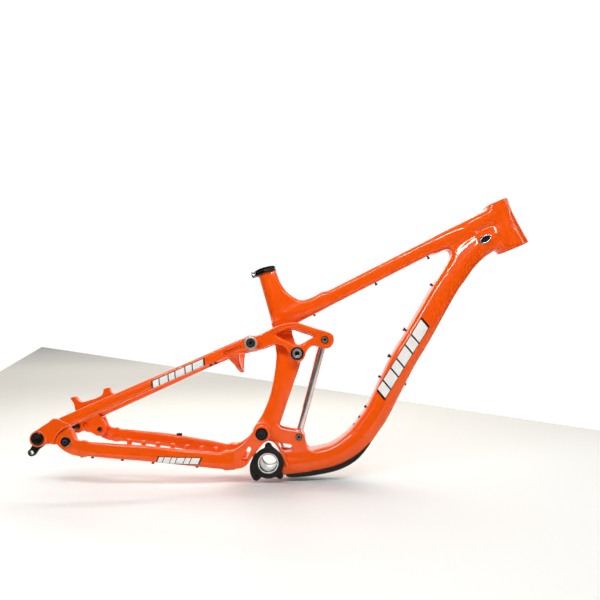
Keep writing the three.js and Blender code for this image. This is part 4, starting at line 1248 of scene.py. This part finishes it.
# ------------------------------------------------------------------ bearings, axles, caps and bolts

both(tube_ring("main_bearing_right_turned", MAIN, 7.75, 12.2, 22.5, 30.5), STEEL, "front_triangle", "main_bearing")
both(tube_ring("rocker_bearing_right_turned", ROCKER, 6.75, 11.2, 19.5, 26.5), STEEL, "front_triangle",
     "rocker_bearing")
both(tube_ring("horst_bearing_right_turned", HORST, 5.2, 9.4, 77.6, 85.4), STEEL, "chainstay", "horst_bearing")
piece(turned("main_pivot_axle_turned", [(0, -46), (7.5, -46), (7.5, 46), (0, 46)], across(MAIN)), STEEL, "chainstay",
      "main_pivot_axle")
piece(turned("rocker_axle_turned", [(0, -41), (6.5, -41), (6.5, 41), (0, 41)], across(ROCKER)), STEEL, "rocker",
      "rocker_axle")
cap = turned("main_pivot_cap_right_turned", [
    (0, 46.3), (12.3, 46.3), (12.3, 48.1), (11.4, 49.1), (9.4, 49.4), (8.8, 48.8), (6.2, 48.8), (5.4, 49.2),
    (5.2, 49.2), (4.6, 48.9, 6), (4.6, 46.9, 6), (0, 46.8)], across(MAIN))
both(cap, PIVOT_METAL, "chainstay", "main_pivot_cap")
cap = turned("rocker_cap_right_turned", [
    (0, 41.3), (13, 41.3), (13, 43.1), (12.3, 43.7), (10.3, 43.7), (0, 43.0)], across(ROCKER))
both(cap, BLACK_GLOSS, "rocker", "rocker_cap")
insert = turned("rocker_bolt_right_turned", [
    (0, 42.0), (9.8, 42.0), (9.8, 44.2), (8.9, 45.2), (6.2, 45.4), (5.3, 45.4), (4.6, 45.0, 6), (4.6, 43.4, 6),
    (0, 43.2)], across(ROCKER))
other = mirror_copy(insert, "rocker_bolt_left_turned")
piece(insert, CAP_METAL, "rocker")
piece(other, CAP_METAL, "rocker")

piece(bolt("shock_bolt_lower_turned", STRUT_BOTTOM, -26, 27.2, 30.3, 4, 6.9, 3.0), LOWER_BOLT, "front_triangle",
      "shock_bolt_lower")
piece(bolt("shock_bolt_upper_turned", STRUT_TOP, -41, 41.2, 44, 4, 7.2, 3.0), UPPER_BOLT, "rocker",
      "shock_bolt_upper")
both(tube_ring("strut_spacer_right_turned", STRUT_TOP, 4.3, 7.5, 12.4, 27.7), STEEL, "rocker", "strut_spacer",
     "machined_alloy")
both(bolt("stay_bolt_right_turned", STAY, 29, 58.4, 60.6, 5, 8.7, 3.7), STAY_BOLT, "rocker", "stay_bolt")
both(tube_ring("stay_washer_right_turned", STAY, 5.3, 12.6, 56.4, 58.4, 0.7), CREAM, "rocker", "stay_washer")
both(bolt("horst_bolt_right_turned", HORST, 65.5, 86.2, 88.6, 5, 8.5, 3.2), HORST_METAL, "seatstay", "horst_bolt")
piece(turned("hanger_bolt_turned", [
    (0, 86.3), (11.6, 86.3), (12, 86.8), (12, 88.2), (10.8, 88.9), (8.2, 89.0), (7.4, 88.4), (4.4, 88.4),
    (3.0, 88.1, 6), (3.0, 86.6, 6), (0, 86.5)], across(REAR_AXLE)), BLACK_GLOSS, "seatstay", "hanger_bolt")
piece(turned("thru_axle_turned", [
    (0, -89), (3.0, -89), (3.0, -88.9), (8, -89), (10, -88.2), (10, -86.3), (6, -86.3), (6, 86), (0, 86)],
    across(REAR_AXLE)), BLACK, "seatstay", "thru_axle")

# ------------------------------------------------------------------ transport strut

reach = (STRUT_TOP[0] - STRUT_BOTTOM[0], STRUT_TOP[1] - STRUT_BOTTOM[1])
STRUT_LENGTH = math.hypot(*reach)
strut_place = leaning(STRUT_BOTTOM, -math.atan2(*reach))
SLEEVE_END = STRUT_LENGTH - 9.0  # inside the eye's wall and clear of the bolt at full travel
STRUT_SLEEVE = [(7.35, 58), (8.0, 58), (8.0, SLEEVE_END), (0, SLEEVE_END), (0, 181), (7.35, 181), (7.35, 58)]
STRUT_ROD = [(0, 3), (7.2, 3), (7.2, 54), (7.2, 135), (0, 135)]
piece(turned("strut_rod_polished", STRUT_ROD, strut_place, 64), STEEL, "strut_lower", "strut_rod")
piece(tube_ring("strut_rod_eye", STRUT_BOTTOM, 4.15, 10, -12, 12, 0.8), STEEL, "strut_lower", "strut_rod")
piece(turned("strut_sleeve_polished", STRUT_SLEEVE, strut_place, 64, soften=0), STEEL, "strut_upper",
      "strut_sleeve")
piece(tube_ring("strut_sleeve_eye", STRUT_TOP, 7.0, 11.5, -12, 12, 0.8), STEEL, "strut_upper", "strut_sleeve")

# ------------------------------------------------------------------ studio

def flat(name, corners, material):
    mesh = bpy.data.meshes.new(name)
    mesh.from_pydata([tuple(c * MM for c in corner) for corner in corners], [], [tuple(range(len(corners)))])
    mesh.materials.append(material)
    placed(name, mesh)


TABLE_LEVEL = -41.0  # height of the table under the frame
TABLE_RISE = 0.04  # the table climbs slightly towards the back
TABLE_CORNER = (-7055, 12092)  # its far left corner, in plan
TABLE_RIGHT = (1009, 508)  # a point on its far right edge
TABLE_LEFT = (-2459, 3000)  # a point on its left edge


def on_table(x, y):
    return (x, y, TABLE_LEVEL + TABLE_RISE * y)


def beyond(start, through, times):
    return tuple(a + (b - a) * times for a, b in zip(start, through))


sh = Shader("table_beige")
cloud = sh.noise(1.1, 3.0)
# Painted light: the table's colour runs from a neutral pale grey in front to beige at the back; the neutral front
# stands in for the foreground washed out by bright light. The clouds vary the tone at random.
lit_front_fade = sh.ramp(sh.split(sh.at)["Y"], 0.0, 1.5, 0.0, 1.0)
tone = sh.math("MULTIPLY", lit_front_fade, sh.ramp(cloud, 0.3, 0.7, 0.7, 1.1))
sh.set(Base_Color=sh.mix(tone, rgb(0.74, 0.755, 0.75), rgb(0.84, 0.81, 0.74)), Roughness=0.5)
flat("studio_table", [
    on_table(*TABLE_CORNER), on_table(*beyond(TABLE_CORNER, TABLE_LEFT, 2.2)), on_table(1500, -9000),
    on_table(*beyond(TABLE_CORNER, TABLE_RIGHT, 1.7)),
], sh.mat)

sh = Shader("backdrop_white")
sh.set(Base_Color=rgb(1, 1, 1), Emission_Color=rgb(1.0, 0.998, 0.99), Emission_Strength=1.0, Roughness=1.0)
flat("studio_backdrop", [(-90000, 45000, -60000), (90000, 45000, -60000), (90000, 45000, 60000),
                         (-90000, 45000, 60000)], sh.mat)


def area_light(name, at, target, size, power, color):
    data = bpy.data.lights.new(name, "AREA")
    data.shape, data.size, data.size_y, data.energy, data.color = "RECTANGLE", size[0], size[1], power, color
    lamp = bpy.data.objects.new(name, data)
    bpy.context.scene.collection.objects.link(lamp)
    lamp.location = at
    lamp.rotation_euler = (Vector(target) - Vector(at)).to_track_quat("-Z", "Y").to_euler()


WARM, WARMER, SOFT_WARM, WHITE = (1.0, 0.96, 0.90), (1.0, 0.95, 0.87), (1.0, 0.97, 0.91), (1, 1, 1)
# (name, place, target, size, power, colour), in metres and watts
for light in (
    ("softbox_top", (0.05, 0.35, 1.7), (0.05, 0.05, 0.2), (2.4, 1.0), 15, WARM),
    ("strip_back", (0.05, 0.95, 1.25), (0.05, 0, 0.25), (2.0, 0.12), 9, WARMER),
    ("softbox_rear", (-1.2, 2.9, 2.3), (-1.2, 2.6, 0.0), (3.6, 2.2), 31, SOFT_WARM),
    ("softbox_far", (-1.6, 6.5, 3.2), (-1.6, 6.4, 0.0), (6.0, 4.0), 45, SOFT_WARM),
    ("strip_front", (-0.2, -1.15, 1.25), (0.05, 0, 0.2), (1.9, 0.10), 22, WHITE),
    ("softbox_front", (-1.1, -1.9, 1.2), (0.05, 0, 0.2), (1.0, 1.0), 2.5, WHITE),
    ("strip_right", (1.5, -0.7, 0.9), (0.2, 0, 0.25), (0.15, 1.2), 3.5, WHITE),
):
    area_light(*light)

world = bpy.data.worlds.new("studio")
bpy.context.scene.world = world
world.use_nodes = True
world.node_tree.nodes["Background"].inputs["Color"].default_value = (1.0, 0.99, 0.97, 1)
world.node_tree.nodes["Background"].inputs["Strength"].default_value = 0.06

camera_data = bpy.data.cameras.new("camera")
camera_data.lens = 28.44
camera_data.sensor_width = 36
camera_data.shift_y = 0.0917
camera_data.clip_start, camera_data.clip_end = 0.05, 200
camera = bpy.data.objects.new("camera", camera_data)
bpy.context.scene.collection.objects.link(camera)
camera.location = (0.0637, -0.986, 0.2169)
camera.rotation_euler = (math.pi / 2, 0, 0)
bpy.context.scene.camera = camera
bpy.context.scene.view_settings.view_transform = "Standard"
